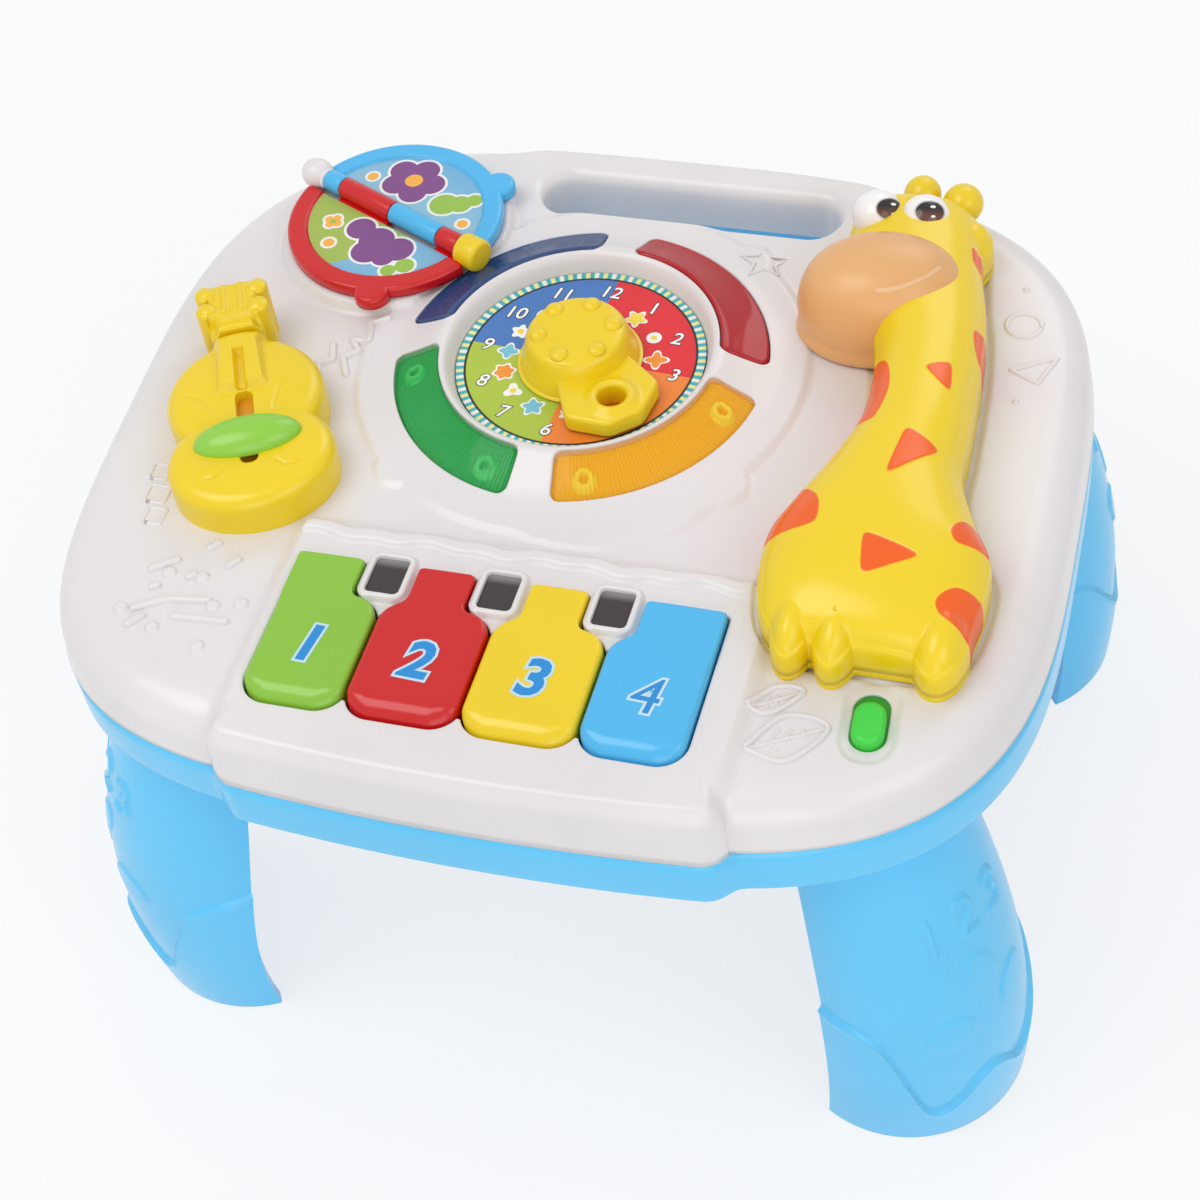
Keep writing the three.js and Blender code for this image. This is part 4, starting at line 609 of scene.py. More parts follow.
# Shader maths
class Sum:
    """A shader socket with Python's operators, each adding a Math node."""

    def __init__(self, nodes, socket):
        self.nodes, self.socket = nodes, socket

    def maths(self, operation, *values):
        """The result of a Math node on values."""
        node = self.nodes.add("ShaderNodeMath", dict(operation=operation), *values)
        return Sum(self.nodes, node.outputs[0])

    def __add__(self, other):
        return self.maths("ADD", self, other)

    def __radd__(self, other):
        return self.maths("ADD", other, self)

    def __sub__(self, other):
        return self.maths("SUBTRACT", self, other)

    def __rsub__(self, other):
        return self.maths("SUBTRACT", other, self)

    def __mul__(self, other):
        return self.maths("MULTIPLY", self, other)

    def __rmul__(self, other):
        return self.maths("MULTIPLY", other, self)

    def __truediv__(self, other):
        return self.maths("DIVIDE", self, other)

    def most(self, other):
        """The larger of two values."""
        return self.maths("MAXIMUM", self, other)

    def root(self):
        """The square root."""
        return self.maths("SQRT", self)

    def sine(self):
        """The sine of an angle in radians."""
        return self.maths("SINE", self)

    def power_of_e(self):
        """The exponential."""
        return self.maths("EXPONENT", self)

    def ramp(self, low, high):
        """Smooth step of this value from 0 at low to 1 at high."""
        node = self.nodes.add("ShaderNodeMapRange", dict(interpolation_type="SMOOTHSTEP"), self, low, high,
                              0.0, 1.0)
        return Sum(self.nodes, node.outputs[0])


class Finish:
    """A material and its nodes. x, y and z are the frame's coordinates in drawing millimetres."""

    def __init__(self, name, tone, roughness=0.3, **constants):
        """constants are other inputs of the shader, with _ for a space in their names."""
        self.material = bpy.data.materials.new(name)
        self.material.use_nodes = True
        self.tree = self.material.node_tree
        self.shader = self.tree.nodes["Principled BSDF"]
        self.fill(self.shader.inputs["Base Color"], tone)
        self.fill(self.shader.inputs["Roughness"], roughness)
        for key, value in constants.items():
            self.fill(self.shader.inputs[key.replace("_", " ")], value)
        self.place = self.add("ShaderNodeTexCoord", {}).outputs["Object"]
        split = self.add("ShaderNodeSeparateXYZ", {}, self.place)
        self.x = Sum(self, split.outputs[0]) * 1000
        self.y = Sum(self, split.outputs[1]) * 1000 - float(DRAWING_SHIFT[1])
        self.z = Sum(self, split.outputs[2]) * 1000

    def fill(self, slot, value):
        """Links a value or a socket to an input, or sets the input to a number or a colour."""
        if isinstance(value, Sum):
            value = value.socket
        if isinstance(value, bpy.types.NodeSocket):
            self.tree.links.new(value, slot)
        elif isinstance(value, tuple):
            slot.default_value = (*value, 1)
        else:
            slot.default_value = value

    def add(self, kind, settings, *inputs):
        """A node of a kind with its settings, its first inputs filled with values or links."""
        node = self.tree.nodes.new(kind)
        for key, value in settings.items():
            setattr(node, key, value)
        for slot, value in zip(node.inputs, inputs):
            self.fill(slot, value)
        return node

    def noise(self, scale, detail=3.0):
        """Noise between 0 and 1 whose lumps are about 1 / scale metres."""
        node = self.add("ShaderNodeTexNoise", {}, self.place)
        self.fill(node.inputs["Scale"], scale)
        self.fill(node.inputs["Detail"], detail)
        return Sum(self, node.outputs[0])

    def mix(self, mask, under, over):
        """Colour over where mask is 1, under where it is 0."""
        node = self.add("ShaderNodeMix", dict(data_type="RGBA"), mask)
        self.fill(node.inputs[6], under)
        self.fill(node.inputs[7], over)
        return node.outputs[2]

    def drive(self, name, value):
        """Feeds a value to the shader's input of that name."""
        self.fill(self.shader.inputs[name], value)

    def bump(self, height, distance=0.0001, strength=0.3):
        """Feeds a height to the shader's normal, distance metres high."""
        node = self.add("ShaderNodeBump", {})
        self.fill(node.inputs["Strength"], strength)
        self.fill(node.inputs["Distance"], distance)
        self.fill(node.inputs["Height"], height)
        self.drive("Normal", node.outputs[0])


def colour(red, green, blue):
    """A screen colour of 0 to 255 as the linear colour that a shader takes."""
    share = np.array([red, green, blue]) / 255
    linear = np.where(share <= 0.04045, share / 12.92, ((share + 0.055) / 1.055) ** 2.4)
    return tuple(float(v) for v in linear)


def moulded(name, tone, roughness=0.3, shade=0.05, **constants):
    """Moulded plastic: a faint wave in the surface, a fine grain in the gloss, a little drift in the tone."""
    made = Finish(name, tone, roughness, **constants)
    made.bump(made.noise(30.0, 1.0), 0.0003, 0.05)
    made.drive("Roughness", made.noise(300.0, 2.0) * 0.05 + (roughness - 0.03))
    drift = made.noise(18.0, 2.0).ramp(0.3, 0.7)
    deeper = tuple(v * (1 - shade) for v in tone)
    made.drive("Base Color", made.mix(drift, deeper, tone))
    return made


WHITE = colour(228, 224, 225)
SKY = colour(98, 202, 250)
YELLOW = colour(240, 208, 24)
RED = colour(206, 12, 16)
GREEN = colour(138, 194, 56)
KEY_BLUE = colour(76, 184, 238)

white = moulded("white_plastic", WHITE, 0.25)
sky = moulded("sky_plastic", SKY, 0.24)
yellow = moulded("yellow_plastic", YELLOW, 0.25)
key_paints = [moulded("key_green", GREEN, 0.2), moulded("key_red", RED, 0.2),
              moulded("key_yellow", YELLOW, 0.2), moulded("key_sky", KEY_BLUE, 0.2)]
red = moulded("red_plastic", RED, 0.24)
book_blue = moulded("book_blue", KEY_BLUE, 0.24)
beige = moulded("beige_plastic", colour(230, 174, 114), 0.33)
# This black also lines the inside of the tray, as painted shade.
black = moulded("black_plastic", colour(42, 36, 34), 0.25)
switch_green = moulded("switch_green", colour(60, 212, 66), 0.32)
# The switch plate takes the button's green painted darker: painted shade in the recess round the button.
switch_shaded_green = moulded("switch_green_shaded", colour(36, 150, 44), 0.35)
oval_green = moulded("slider_green", colour(142, 205, 66), 0.22)
steel = Finish("steel", colour(190, 192, 196), 0.3, Metallic=1.0).material
board_green = moulded("board_green", colour(31, 107, 58), 0.5)
rubber = moulded("contact_rubber", colour(154, 154, 152), 0.7)
battery_skin = moulded("battery_sleeve", colour(58, 63, 70), 0.35)
brass = Finish("contact_brass", colour(200, 168, 80), 0.3, Metallic=1.0).material

# The solids that keep their own shape get a finish by their names
for name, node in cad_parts.items():
    node.data.materials.clear()
    paint = white.material
    if name.startswith(("housing_screw", "key_pivot", "book_hinge", "slide_switch", "battery_door_screw")):
        paint = steel
    elif name.startswith("battery_contact"):
        paint = brass
    elif name in ("battery_1", "battery_2", "battery_3"):
        paint = battery_skin.material
    elif name in ("main_board", "key_board"):
        paint = board_green.material
    elif name == "key_contact_strip":
        paint = rubber.material
    elif name in ("bottom_shell", "battery_door"):
        paint = sky.material
    elif name.startswith(("window", "contact_disc", "slider_retainer", "speaker")):
        paint = black.material
    node.data.materials.append(paint)


PANE_HALF = (5.2, 6.5)
glass = Finish("window_black", colour(44, 38, 36), 0.12)
fade = glass.y.ramp(WINDOW_Y + 2.6, WINDOW_Y + 5.8)
glass.drive("Base Color", glass.mix(fade, colour(52, 44, 42), colour(140, 136, 136)))
glass.drive("Roughness", glass.noise(300.0, 2.0) * 0.08 + 0.1)
for k, middle in enumerate(WINDOW_X):
    pane = plate((middle - 6, middle + 6, WINDOW_Y - 7, WINDOW_Y + 7), 0.6, BAY_TOP + 0.7,
                 Rim(lambda x, y: box_depth(x, y, (middle, WINDOW_Y), PANE_HALF, 1.6), 0.3, 0.3,
                     BAY_TOP - 3.0, steps=2), closed=BAY_TOP - 3.0)
    make(f"window_pane_{k + 1}", pane, glass.material, "table", [f"window_insert_{k + 1}"])


# The hood
def handle_hole(x, y):
    """Depth outside the handle's opening."""
    return -box_depth(x, y, (HANDLE_X, HANDLE_Y), HANDLE_HALF, 7.9)


def handle_reach(x, y):
    """Width of the handle's rolled edge: wide on the back side and narrow on the dial's side."""
    return 1.8 + 2.4 * ramp(y, HANDLE_Y - 6, HANDLE_Y + 5)


def switch_slot(x, y):
    """Depth outside the power switch's slot."""
    sx, sy = turned(x, y, SWITCH, SWITCH_TURN)
    return -box_depth(sx, sy, (0, 0), (4.4, 8.4), 4.4)


def outside_turret(x, y):
    """Depth outside the turret's own sheet, which ends before the handle's opening."""
    return -np.minimum(disc_depth(x, y, DIAL, 60.0), 76.0 - y)


BAY_BOX = (-61.5, 61.5, -104.4, -45.2)


def within(box):
    """A test whether plan points lie inside a box (x0, x1, y0, y1)."""
    x0, x1, y0, y1 = box
    return lambda x, y: (x > x0) & (x < x1) & (y > y0) & (y < y1)


def lines(*stops):
    """Grid lines between stops (value, count to the next)."""
    parts = [np.linspace(a, b, n, endpoint=False) for (a, n), (b, _) in zip(stops, stops[1:])]
    return np.concatenate([*parts, [stops[-1][0]]])


x_lines = lines((-130.5, 92), (BAY_BOX[0], 160), (BAY_BOX[1], 92), (130.5, 0))
y_lines = lines((-121.5, 23), (BAY_BOX[2], 78), (BAY_BOX[3], 205), (112.0, 0))
gx, gy = np.meshgrid(x_lines, y_lines)
deck = sheet(gx, gy, deck_height, [
    Rim(outline_depth, rim_reach, rim_drop, SEAM + 0.02, draft=0.9, steps=7, walls=5, under=2.2,
        start=math.radians(43)),
    Rim(handle_hole, handle_reach, handle_reach, SEAM, steps=7, walls=3),
    Rim(switch_slot, 0.4, 0.4, 143.5, steps=3, walls=1),
    Rim(outside_turret, steps=0)], 0.77, drop_faces=within(BAY_BOX))
make("hood", deck, white.material, "table", ["top_shell"])


# Raised moulding on the hood: notes, leaves, shapes and zigzags
NOTES = [[(-98.1, -66.6), (-90.6, -61.3)], [(-95.7, -72.3), (-92.6, -70.4)],
         [(-97.8, -79.9), (-89.3, -74.9), (-77.4, -73.1)], [(-86.5, -79.9), (-70.5, -79)],
         [(-97, -85.3), (-92.7, -80.3)], [(-85.3, -57.7), (-82.3, -53.6)],
         [(-78.1, -62.5), (-75.2, -58.1)], [(-87.3, -67.7), (-84.5, -65)]]
HEADS = [(-100, -79.9), (-89.6, -84.3), (-76.7, -74.9), (-69.7, -73), (-92.1, -66.4), (-82.9, -66.4),
         (-75.8, -88)]
ZIGZAGS = [[(-70.5, 8.5), (-74.1, 15.4), (-70.4, 18.2), (-73.6, 22.4), (-68.4, 21.8), (-70.6, 29.6),
            (-64.6, 30.6)],
           [(-77.5, 5.5), (-80.0, 12.0), (-76.5, 14.0), (-78.6, 20.5)]]
LEAVES = [((62.8, -80.8), (68.2, -73.3), (74.9, -73.4), (68.9, -80.9)),
          ((64.8, -92.4), (72.4, -81.2), (83.0, -82.8), (75.4, -93.9))]
raised = [ribbon(straight_line(path), 2.2, 1.2, deck_height) for path in NOTES + ZIGZAGS]
for base_point, upper, tip, lower in LEAVES:
    loop = [base_point, upper, tip, lower, base_point]
    raised.append(ribbon(smooth_line(loop, 90), 1.5, 1.0, deck_height))
    raised.append(ribbon(straight_line([base_point, tip]), 1.1, 0.5, deck_height, 7))
    for share in (0.3, 0.5, 0.7):
        root = np.array(base_point) * (1 - share) + np.array(tip) * share
        for rib in (upper, lower):
            end = root * 0.45 + (np.array(rib) * (1.2 - share) + np.array(tip) * (share - 0.2)) * 0.55
            raised.append(ribbon(straight_line([root, end]), 0.9, 0.4, deck_height, 7))
star_angles = np.linspace(0, 2 * PI, 11) + 0.5
star_radii = np.where(np.arange(11) % 2, 3.0, 6.6)
star = np.column_stack([31.0 + star_radii * np.cos(star_angles), 69.2 + star_radii * np.sin(star_angles)])
round_angles = np.linspace(0, 2 * PI, 60)
circle = np.column_stack([104.2 + 4.6 * np.cos(round_angles), 57.0 + 4.4 * np.sin(round_angles)])
triangle = [(103.6, 40.1), (111.3, 36.4), (114.8, 46.5), (103.6, 40.1), (105.0, 39.4)]
raised += [ribbon(star, 1.4, 0.6, deck_height), ribbon(circle, 1.5, 0.6, deck_height),
           ribbon(straight_line(triangle), 1.5, 0.6, deck_height)]
for x0, y0, wide in [(-108.2, -33.6, 2.6), (-106.0, -41.2, 2.9), (-103.8, -48.6, 2.6)]:
    box = [(x0 - wide, y0 - wide), (x0 + wide, y0 - wide), (x0 + wide, y0 + wide), (x0 - wide, y0 + wide),
           (x0 - wide, y0 - wide), (x0, y0 - wide)]
    raised.append(ribbon(straight_line(box), 1.2, 0.5, deck_height, 7))
for cx, cy, wide in [(*head, 2.3) for head in HEADS] + [(102.4, 70.3, 1.2), (106.9, 28.8, 1.2)]:
    raised.append(mound(lambda x, y: disc_depth(x, y, (cx, cy), wide), (cx - 3, cx + 3, cy - 3, cy + 3),
                        0.3, 1.1, 1.1, deck_height))
make("hood_reliefs", merged(*raised), white.material, "table")


def key_wells(x, y):
    """Depth outside the four keys' wells, which are 0.5 mm wider than the keys."""
    return -(np.max([key_depth(k, x, y) for k in range(4)], axis=0) + 0.5)


gx, gy = np.meshgrid(np.linspace(BAY_BOX[0], BAY_BOX[1], 290), np.linspace(BAY_BOX[2], BAY_BOX[3], 141))
bay_top = sheet(gx, gy, deck_height, [
    Rim(key_wells, 0.5, 0.5, 141.0, steps=4, walls=2),
    Rim(lambda x, y: -window_depth(x, y), 0.5, 0.5, 144.5, steps=4, walls=2)], 0.42)
make("keyboard_frame", bay_top, white.material, "table")

# The lamp turret, on a round grid of its own
gx, gy = round_grid(np.linspace(61.8, 32.6, 71), np.linspace(0, 2 * PI, 900, endpoint=False))
openings = [Rim(lambda x, y, k=k: -lens_depth(k, x, y), 0.5, 0.5, 143.5, steps=4, walls=2) for k in range(4)]
openings.append(Rim(lambda x, y: 76.8 - y, steps=0))
turret = sheet(gx, gy, lambda x, y: deck_height(x, y) + 0.012, openings, 0.42, wrap=True)
make("lamp_turret", turret, white.material, "table")

# Lamp windows over ribbed reflectors
BOSS_RADIUS, BOSS_TURN = 44.6, 0.48   # where a reflector's two bosses stand, from its middle
LENS_TONES = [("red", (198, 10, 26), (150, 4, 16), 0.72), ("blue", (52, 84, 140), (38, 62, 108), 0.72),
              ("green", (0, 158, 62), (26, 184, 86), 0.32), ("amber", (234, 160, 0), (250, 200, 30), 0.28)]
for k, (tone, rgb, deep, veil) in enumerate(LENS_TONES):
    middle = lens_middle(k)
    gx, gy = round_grid(np.linspace(LENS_OUT + 0.5, LENS_IN - 0.5, 32),
                        np.linspace(middle - LENS_HALF - 0.02, middle + LENS_HALF + 0.02, 160))
    inside = Rim(lambda x, y: lens_depth(k, x, y) - 0.25, 0.8, 0.8, 144.0, steps=4, walls=1)
    cover = sheet(gx, gy, lambda x, y: deck_height(x, y) + 0.15, [inside], 0.5)
    clear = Finish(f"lens_{tone}_clear", colour(*rgb), 0.08, Alpha=veil)
    clear.bump(clear.noise(60.0, 1.0), 0.0003, 0.08)
    make(f"lens_cover_{tone}", cover, clear.material, "table", [f"lens_{tone}"])

    def reflector_height(x, y):
        """2.4 mm under the lens, with ribs that are a cosine of the angle, and two hollow bosses."""
        r, a = round_dial(x, y, middle)
        z = deck_height(x, y) - 2.4 - 0.3 * np.cos(a * 270) - 0.06 * np.cos(r * 5)
        for place in (-BOSS_TURN, BOSS_TURN):
            gap = np.hypot((a - place) * BOSS_RADIUS, r - BOSS_RADIUS)
            z = z + 1.9 * (1 - ramp(gap, 2.2, 3.4)) - 1.5 * (1 - ramp(gap, 0.9, 1.5))
        return z

    gx, gy = round_grid(np.linspace(LENS_OUT, LENS_IN, 40),
                        np.linspace(middle - LENS_HALF, middle + LENS_HALF, 420))
    base = sheet(gx, gy, reflector_height, [], 0.3)
    glow = Finish(f"reflector_{tone}", colour(*deep), 0.2)
    # Paler rings on the bosses' raised tops: a painted highlight.
    boss_highlight_rings = []
    for place in (middle - BOSS_TURN, middle + BOSS_TURN):
        east = glow.x - float(DIAL[0] + BOSS_RADIUS * math.cos(place))
        north = glow.y - float(DIAL[1] + BOSS_RADIUS * math.sin(place))
        gap = (east * east + north * north).root()
        boss_highlight_rings.append(gap.ramp(1.0, 1.6) * (1.0 - gap.ramp(2.9, 3.5)))
    pale = tuple(min(v * 1.5 + 0.06, 1.0) for v in colour(*deep))
    glow.drive("Base Color", glow.mix(reduce(Sum.most, boss_highlight_rings), colour(*deep), pale))
    glow.bump(glow.noise(900.0, 2.0), 0.0002, 0.2)
    make(f"reflector_{tone}", base, glow.material, "table")
    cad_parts[f"lamp_{tone}"].data.materials[0] = glow.material

# The dial's printed face
printed = Finish("dial_print", colour(70, 130, 190), 0.3)
dx, dy = printed.x - DIAL[0], printed.y - DIAL[1]
radius_of = (dx * dx + dy * dy).root()
tilt = math.radians(DIAL_TILT)
across = dx * math.cos(tilt) + dy * math.sin(tilt)
along = dy * math.cos(tilt) - dx * math.sin(tilt)
right, upper = across.ramp(-0.06, 0.06), along.ramp(-0.06, 0.06)
top_half = printed.mix(right, colour(66, 118, 190), colour(222, 34, 44))
low_half = printed.mix(right, colour(172, 196, 62), colour(240, 132, 44))
face = printed.mix(upper, low_half, top_half)
turn_of = along.maths("ARCTAN2", along, across)
dash = (turn_of * 84).sine().ramp(-0.35, 0.35)
pale = printed.mix((turn_of * 42).sine().ramp(-0.2, 0.2), colour(240, 238, 232), colour(238, 232, 150))
dashed_edge = printed.mix(dash, pale, colour(62, 178, 186))
face = printed.mix(radius_of.ramp(30.75, 30.95), face, colour(20, 18, 18))
face = printed.mix(radius_of.ramp(31.4, 31.6), face, dashed_edge)
printed.drive("Base Color", face)
printed.bump(printed.noise(800.0, 2.0), 0.0001, 0.1)
gx, gy = round_grid(np.linspace(33.6, 3.2, 24), np.linspace(0, 2 * PI, 128, endpoint=False))
disc = sheet(gx, gy, flat(DIAL_TOP), [], 0.5, wrap=True)
make("dial_face", disc, printed.material, "table", ["dial_plate"])


def lettering(text, tall, swell=0.0, lean=0.0):
    """The flat outline mesh of a number, its middle at the origin, tall in mm. swell makes it bolder, and
    lean slants it."""
    curve = bpy.data.curves.new("number", "FONT")
    curve.body, curve.size, curve.offset, curve.shear, curve.resolution_u = text, 1.0, swell, lean, 3
    holder = bpy.data.objects.new("number", curve)
    bpy.context.scene.collection.objects.link(holder)
    bpy.context.view_layer.update()
    mesh = bpy.data.meshes.new_from_object(holder.evaluated_get(bpy.context.evaluated_depsgraph_get()))
    points = np.zeros(len(mesh.vertices) * 3)
    mesh.vertices.foreach_get("co", points)
    mesh.calc_loop_triangles()
    faces = np.zeros(len(mesh.loop_triangles) * 3, int)
    mesh.loop_triangles.foreach_get("vertices", faces)
    points, faces = points.reshape(-1, 3), faces.reshape(-1, 3)
    a, b, c = (points[faces[:, i]] for i in range(3))
    faces = faces[np.cross(b - a, c - a)[:, 2] > 0]
    bpy.data.objects.remove(holder)
    bpy.data.curves.remove(curve)
    bpy.data.meshes.remove(mesh)
    low, high = points.min(0), points.max(0)
    points = (points - (low + high) / 2) * (tall / 0.72)
    points[:, 2] = 0
    return points, faces


ink_white = moulded("ink_white", colour(250, 250, 250), 0.35)
ink_black = moulded("ink_black", colour(28, 24, 30), 0.35)
HOUR_RING, HOUR_TALL = 26.4, 4.4
numbers, outlines = [], []
for hour in range(1, 13):
    a = math.radians(90 + DIAL_TILT - 30 * hour)
    centre = (DIAL[0] + HOUR_RING * math.cos(a), DIAL[1] + HOUR_RING * math.sin(a))
    swell = 0.0 if hour == 4 else 0.012   # a bolder 4 overlaps itself in its small opening
    for group, bold, lift in ((numbers, swell, 0.06), (outlines, 0.05, 0.03)):
        group.append(placed(lettering(str(hour), HOUR_TALL, bold, 0.15), centre, math.radians(DIAL_TILT),
                            DIAL_TOP + lift))
make("dial_numbers", merged(*numbers), ink_white.material, "table", sharp=30)
make("dial_number_edges", merged(*outlines), ink_black.material, "table", sharp=30)

# Small figures inside the hours: direction in degrees, distance, radius, lobes, their depth and the ink
MOTIFS = [(252, 20.6, 2.3, 5, 0.22, "sky"), (228, 20.4, 2.2, 3, 0.3, "ink"),
          (206, 20.6, 2.4, 6, 0.15, "orange"), (184, 20.2, 2.1, 4, 0.25, "sky"),
          (162, 20.6, 2.3, 5, 0.2, "ink"), (138, 20.4, 2.0, 0, 0.0, "yellow"),
          (116, 20.4, 2.1, 6, 0.2, "ink"), (62, 20.4, 2.2, 5, 0.25, "yellow"),
          (36, 20.6, 2.1, 0, 0.0, "ink"), (12, 20.4, 2.3, 4, 0.28, "orange"),
          (346, 20.4, 2.1, 3, 0.28, "yellow"), (280, 20.4, 2.0, 6, 0.2, "ink")]
inks = {"sky": moulded("ink_sky", colour(120, 196, 226), 0.35),
        "orange": moulded("ink_orange", colour(244, 150, 40), 0.35),
        "yellow": moulded("ink_yellow", colour(246, 222, 70), 0.35), "ink": ink_white}
for ink, paint in inks.items():
    figures = []
    for turn, radius, size, lobes, depth, tone in MOTIFS:
        a = math.radians(turn + DIAL_TILT)
        centre = (DIAL[0] + radius * math.cos(a), DIAL[1] + radius * math.sin(a))
        if tone == ink:
            figures.append(rosette(centre, size, lobes, depth, DIAL_TOP + 0.05, a))
        elif ink == "ink":
            figures.append(rosette(centre, size * 1.25, lobes, depth, DIAL_TOP + 0.03, a))
        elif ink == "yellow" and tone == "ink":
            figures.append(rosette(centre, size * 0.4, 0, 0, DIAL_TOP + 0.07, a))
    make(f"dial_motifs_{ink}", merged(*figures), paint.material, "table", sharp=30)

# Keys
KEY_FOOT = 143.4
for k in range(4):
    left, right = KEY_EDGES[k][:2]
    middle = (left + right) / 2

    def key_reach(x, y):
        """Width of a key's rolled edge: 1.7 mm, less beside the neck and more along the front."""
        e = 0.3
        facing = (key_depth(k, x, y + e) - key_depth(k, x, y - e)) / (2 * e)
        return 1.7 - 1.0 * ramp(y, -75, -69) + 3.6 * ramp(facing, 0.1, 0.95) * ramp(-y, 84, 92)

    def key_top(x, y):
        """A key's top, a shallow parabola across it."""
        return KEY_TOP + 0.25 - 0.3 * ((x - middle) / 14) ** 2

    key = plate((left - 1, right + 1, KEY_FRONT - 1, KEY_BACK + 1), 0.45, key_top,
                Rim(lambda x, y: key_depth(k, x, y), key_reach, key_reach, KEY_FOOT, steps=9, walls=3),
                closed=KEY_FOOT)
    make(f"key_cap_{k + 1}", key, key_paints[k].material, f"key_{k + 1}", [f"key_{k + 1}"])

# The keys' printed numbers, each over a paler and bolder one
NUMBER_TALL, NUMBER_Y = 11.0, -85.2
label_blue = moulded("label_blue", colour(30, 140, 214), 0.33)
label_pale = moulded("label_pale", colour(196, 226, 240), 0.33)
NUMBER_LAYERS = (("number", 0.0, 0.05, label_blue), ("number_edge", 0.045, 0.02, label_pale))
for k in range(4):
    middle = (KEY_EDGES[k][0] + KEY_EDGES[k][1]) / 2
    swell = 0.0 if k == 3 else 0.03   # a bolder 4 overlaps itself in its small opening
    for label, bold, lift, paint in NUMBER_LAYERS:
        digit = placed(lettering(str(k + 1), NUMBER_TALL, swell + bold, 0.1), (middle + 0.4, NUMBER_Y),
                       math.radians(-3), KEY_TOP + 0.27 + lift)
        make(f"key_{label}_{k + 1}", digit, paint.material, f"key_{k + 1}", sharp=30)

# Clock knob
KNOB_TURN = math.radians(-51)
base = DIAL_TOP + 0.5
body = lathe(smooth_line([[0.01, base], [15.6, base], [15.9, base + 0.5], [15.5, base + 2.5],
                          [14.6, base + 5.2], [13.9, base + 7.6], [13.1, base + 9.4], [11.9, base + 10.3],
                          [9.0, base + 10.6], [0.01, base + 10.7]], 90), 120)
POINTER_EYE = (23, 0)
STUD_RING = 9.9
studs = []
for i in range(6):
    a = i * PI / 3 + 0.2
    studs.append(ellipsoid((STUD_RING * math.cos(a), STUD_RING * math.sin(a), base + 10.3), (2.5, 2.5, 1.7),
                           32, 12, top_only=True))


def pointer_depth(x, y):
    """Depth inside the pointer's six-sided outline."""
    corners = [(6, -9.6), (23, -13.4), (31, -4.8), (31, 4.8), (23, 13.4), (6, 9.6)]
    return polygon_depth(x, y, corners, 0.35)


def pointer_height(x, y):
    """The pointer's top, which swells up round its eye."""
    gap = np.hypot(x - POINTER_EYE[0], y)
    return base + 5.2 + 1.8 * (1 - ramp(gap, 4.6, 8.2))


pointer = plate((4, 32, -14.5, 14.5), 0.4, pointer_height, Rim(pointer_depth, 1.2, 1.2, base + 0.4, steps=5),
                [Rim(lambda x, y: -disc_depth(x, y, POINTER_EYE, 3.7), 1.5, 1.5, base - 0.2, steps=6)])
make("knob", placed(merged(body, pointer, *studs), DIAL, KNOB_TURN), yellow.material, "clock_knob",
     ["clock_knob"])

# Flip book
PAGE_LOW, PAGE_TOP = PLINTH_TOP + 0.5, PLINTH_TOP + 3.5
PAGE_RADIUS, PICTURE_RADIUS = 30.8, 25.2


def page_depth(side, x, y):
    """Depth inside a page: half a disc with a round tab."""
    half = np.minimum(disc_depth(x, y, (0, 0), PAGE_RADIUS), side * y - 3.6)
    a = side * math.radians(59)
    tab = disc_depth(x, y, (30.5 * math.cos(a), 30.5 * math.sin(a)), 5.0)
    return join_soft(half, tab, 0.8)


def page_height(side, x, y):
    """A page's top: a border 0.9 mm above the picture."""
    inner = np.minimum(disc_depth(x, y, (0, 0), PICTURE_RADIUS), side * y - 4.3)
    return PAGE_TOP + 0.5 - 0.9 * ramp(inner, -0.2, 0.2)


# Each page has two of the four tubes along the pin, between these ends
TUBE_ENDS = (-25.8, -19.5, 0, 18.2, 25.8)
for label, side, paint, own in (("blue", 1, book_blue, (0, 2)), ("red", -1, red, (1, 3))):
    box = (-32, 37, 2.5, 37) if side > 0 else (-32, 37, -37, -2.5)
    leaf = plate(box, 0.35, lambda x, y: page_height(side, x, y),
                 Rim(lambda x, y: page_depth(side, x, y), 1.3, 1.3, PAGE_LOW, steps=6), closed=PAGE_LOW)
    tubes, flaps = [], []
    for i in own:
        start, end = TUBE_ENDS[i], TUBE_ENDS[i + 1]
        tubes.append(rod((start + 0.15, 0, HINGE_Z), (end - 0.15, 0, HINGE_Z), 3.1, 48, 0.4))
        flap_middle, flap_half = ((start + end) / 2, side * 2.3), ((end - start) / 2 - 0.2, 2.3)
        flap_rim = Rim(lambda x, y: box_depth(x, y, flap_middle, flap_half, 0.2), 0.2, 0.2, PAGE_LOW + 0.6,
                       steps=1)
        flaps.append(plate((start + 0.15, end - 0.15, min(0, side * 4.6), max(0, side * 4.6)), 0.8,
                           PAGE_TOP - 0.6, flap_rim))
    make(f"book_{label}_leaf", placed(merged(leaf, *tubes, *flaps), BOOK, BOOK_TURN), paint.material,
         f"{label}_page", [f"{label}_page"])


def round_group(centre, ring, count, radius, first=0.0):
    """Discs (x, y, radius) evenly round a centre, on an ellipse whose half axes are ring."""
    angles = np.arange(count) * (2 / count) * PI + first
    return [(centre[0] + ring[0] * math.cos(t), centre[1] + ring[1] * math.sin(t), radius) for t in angles]


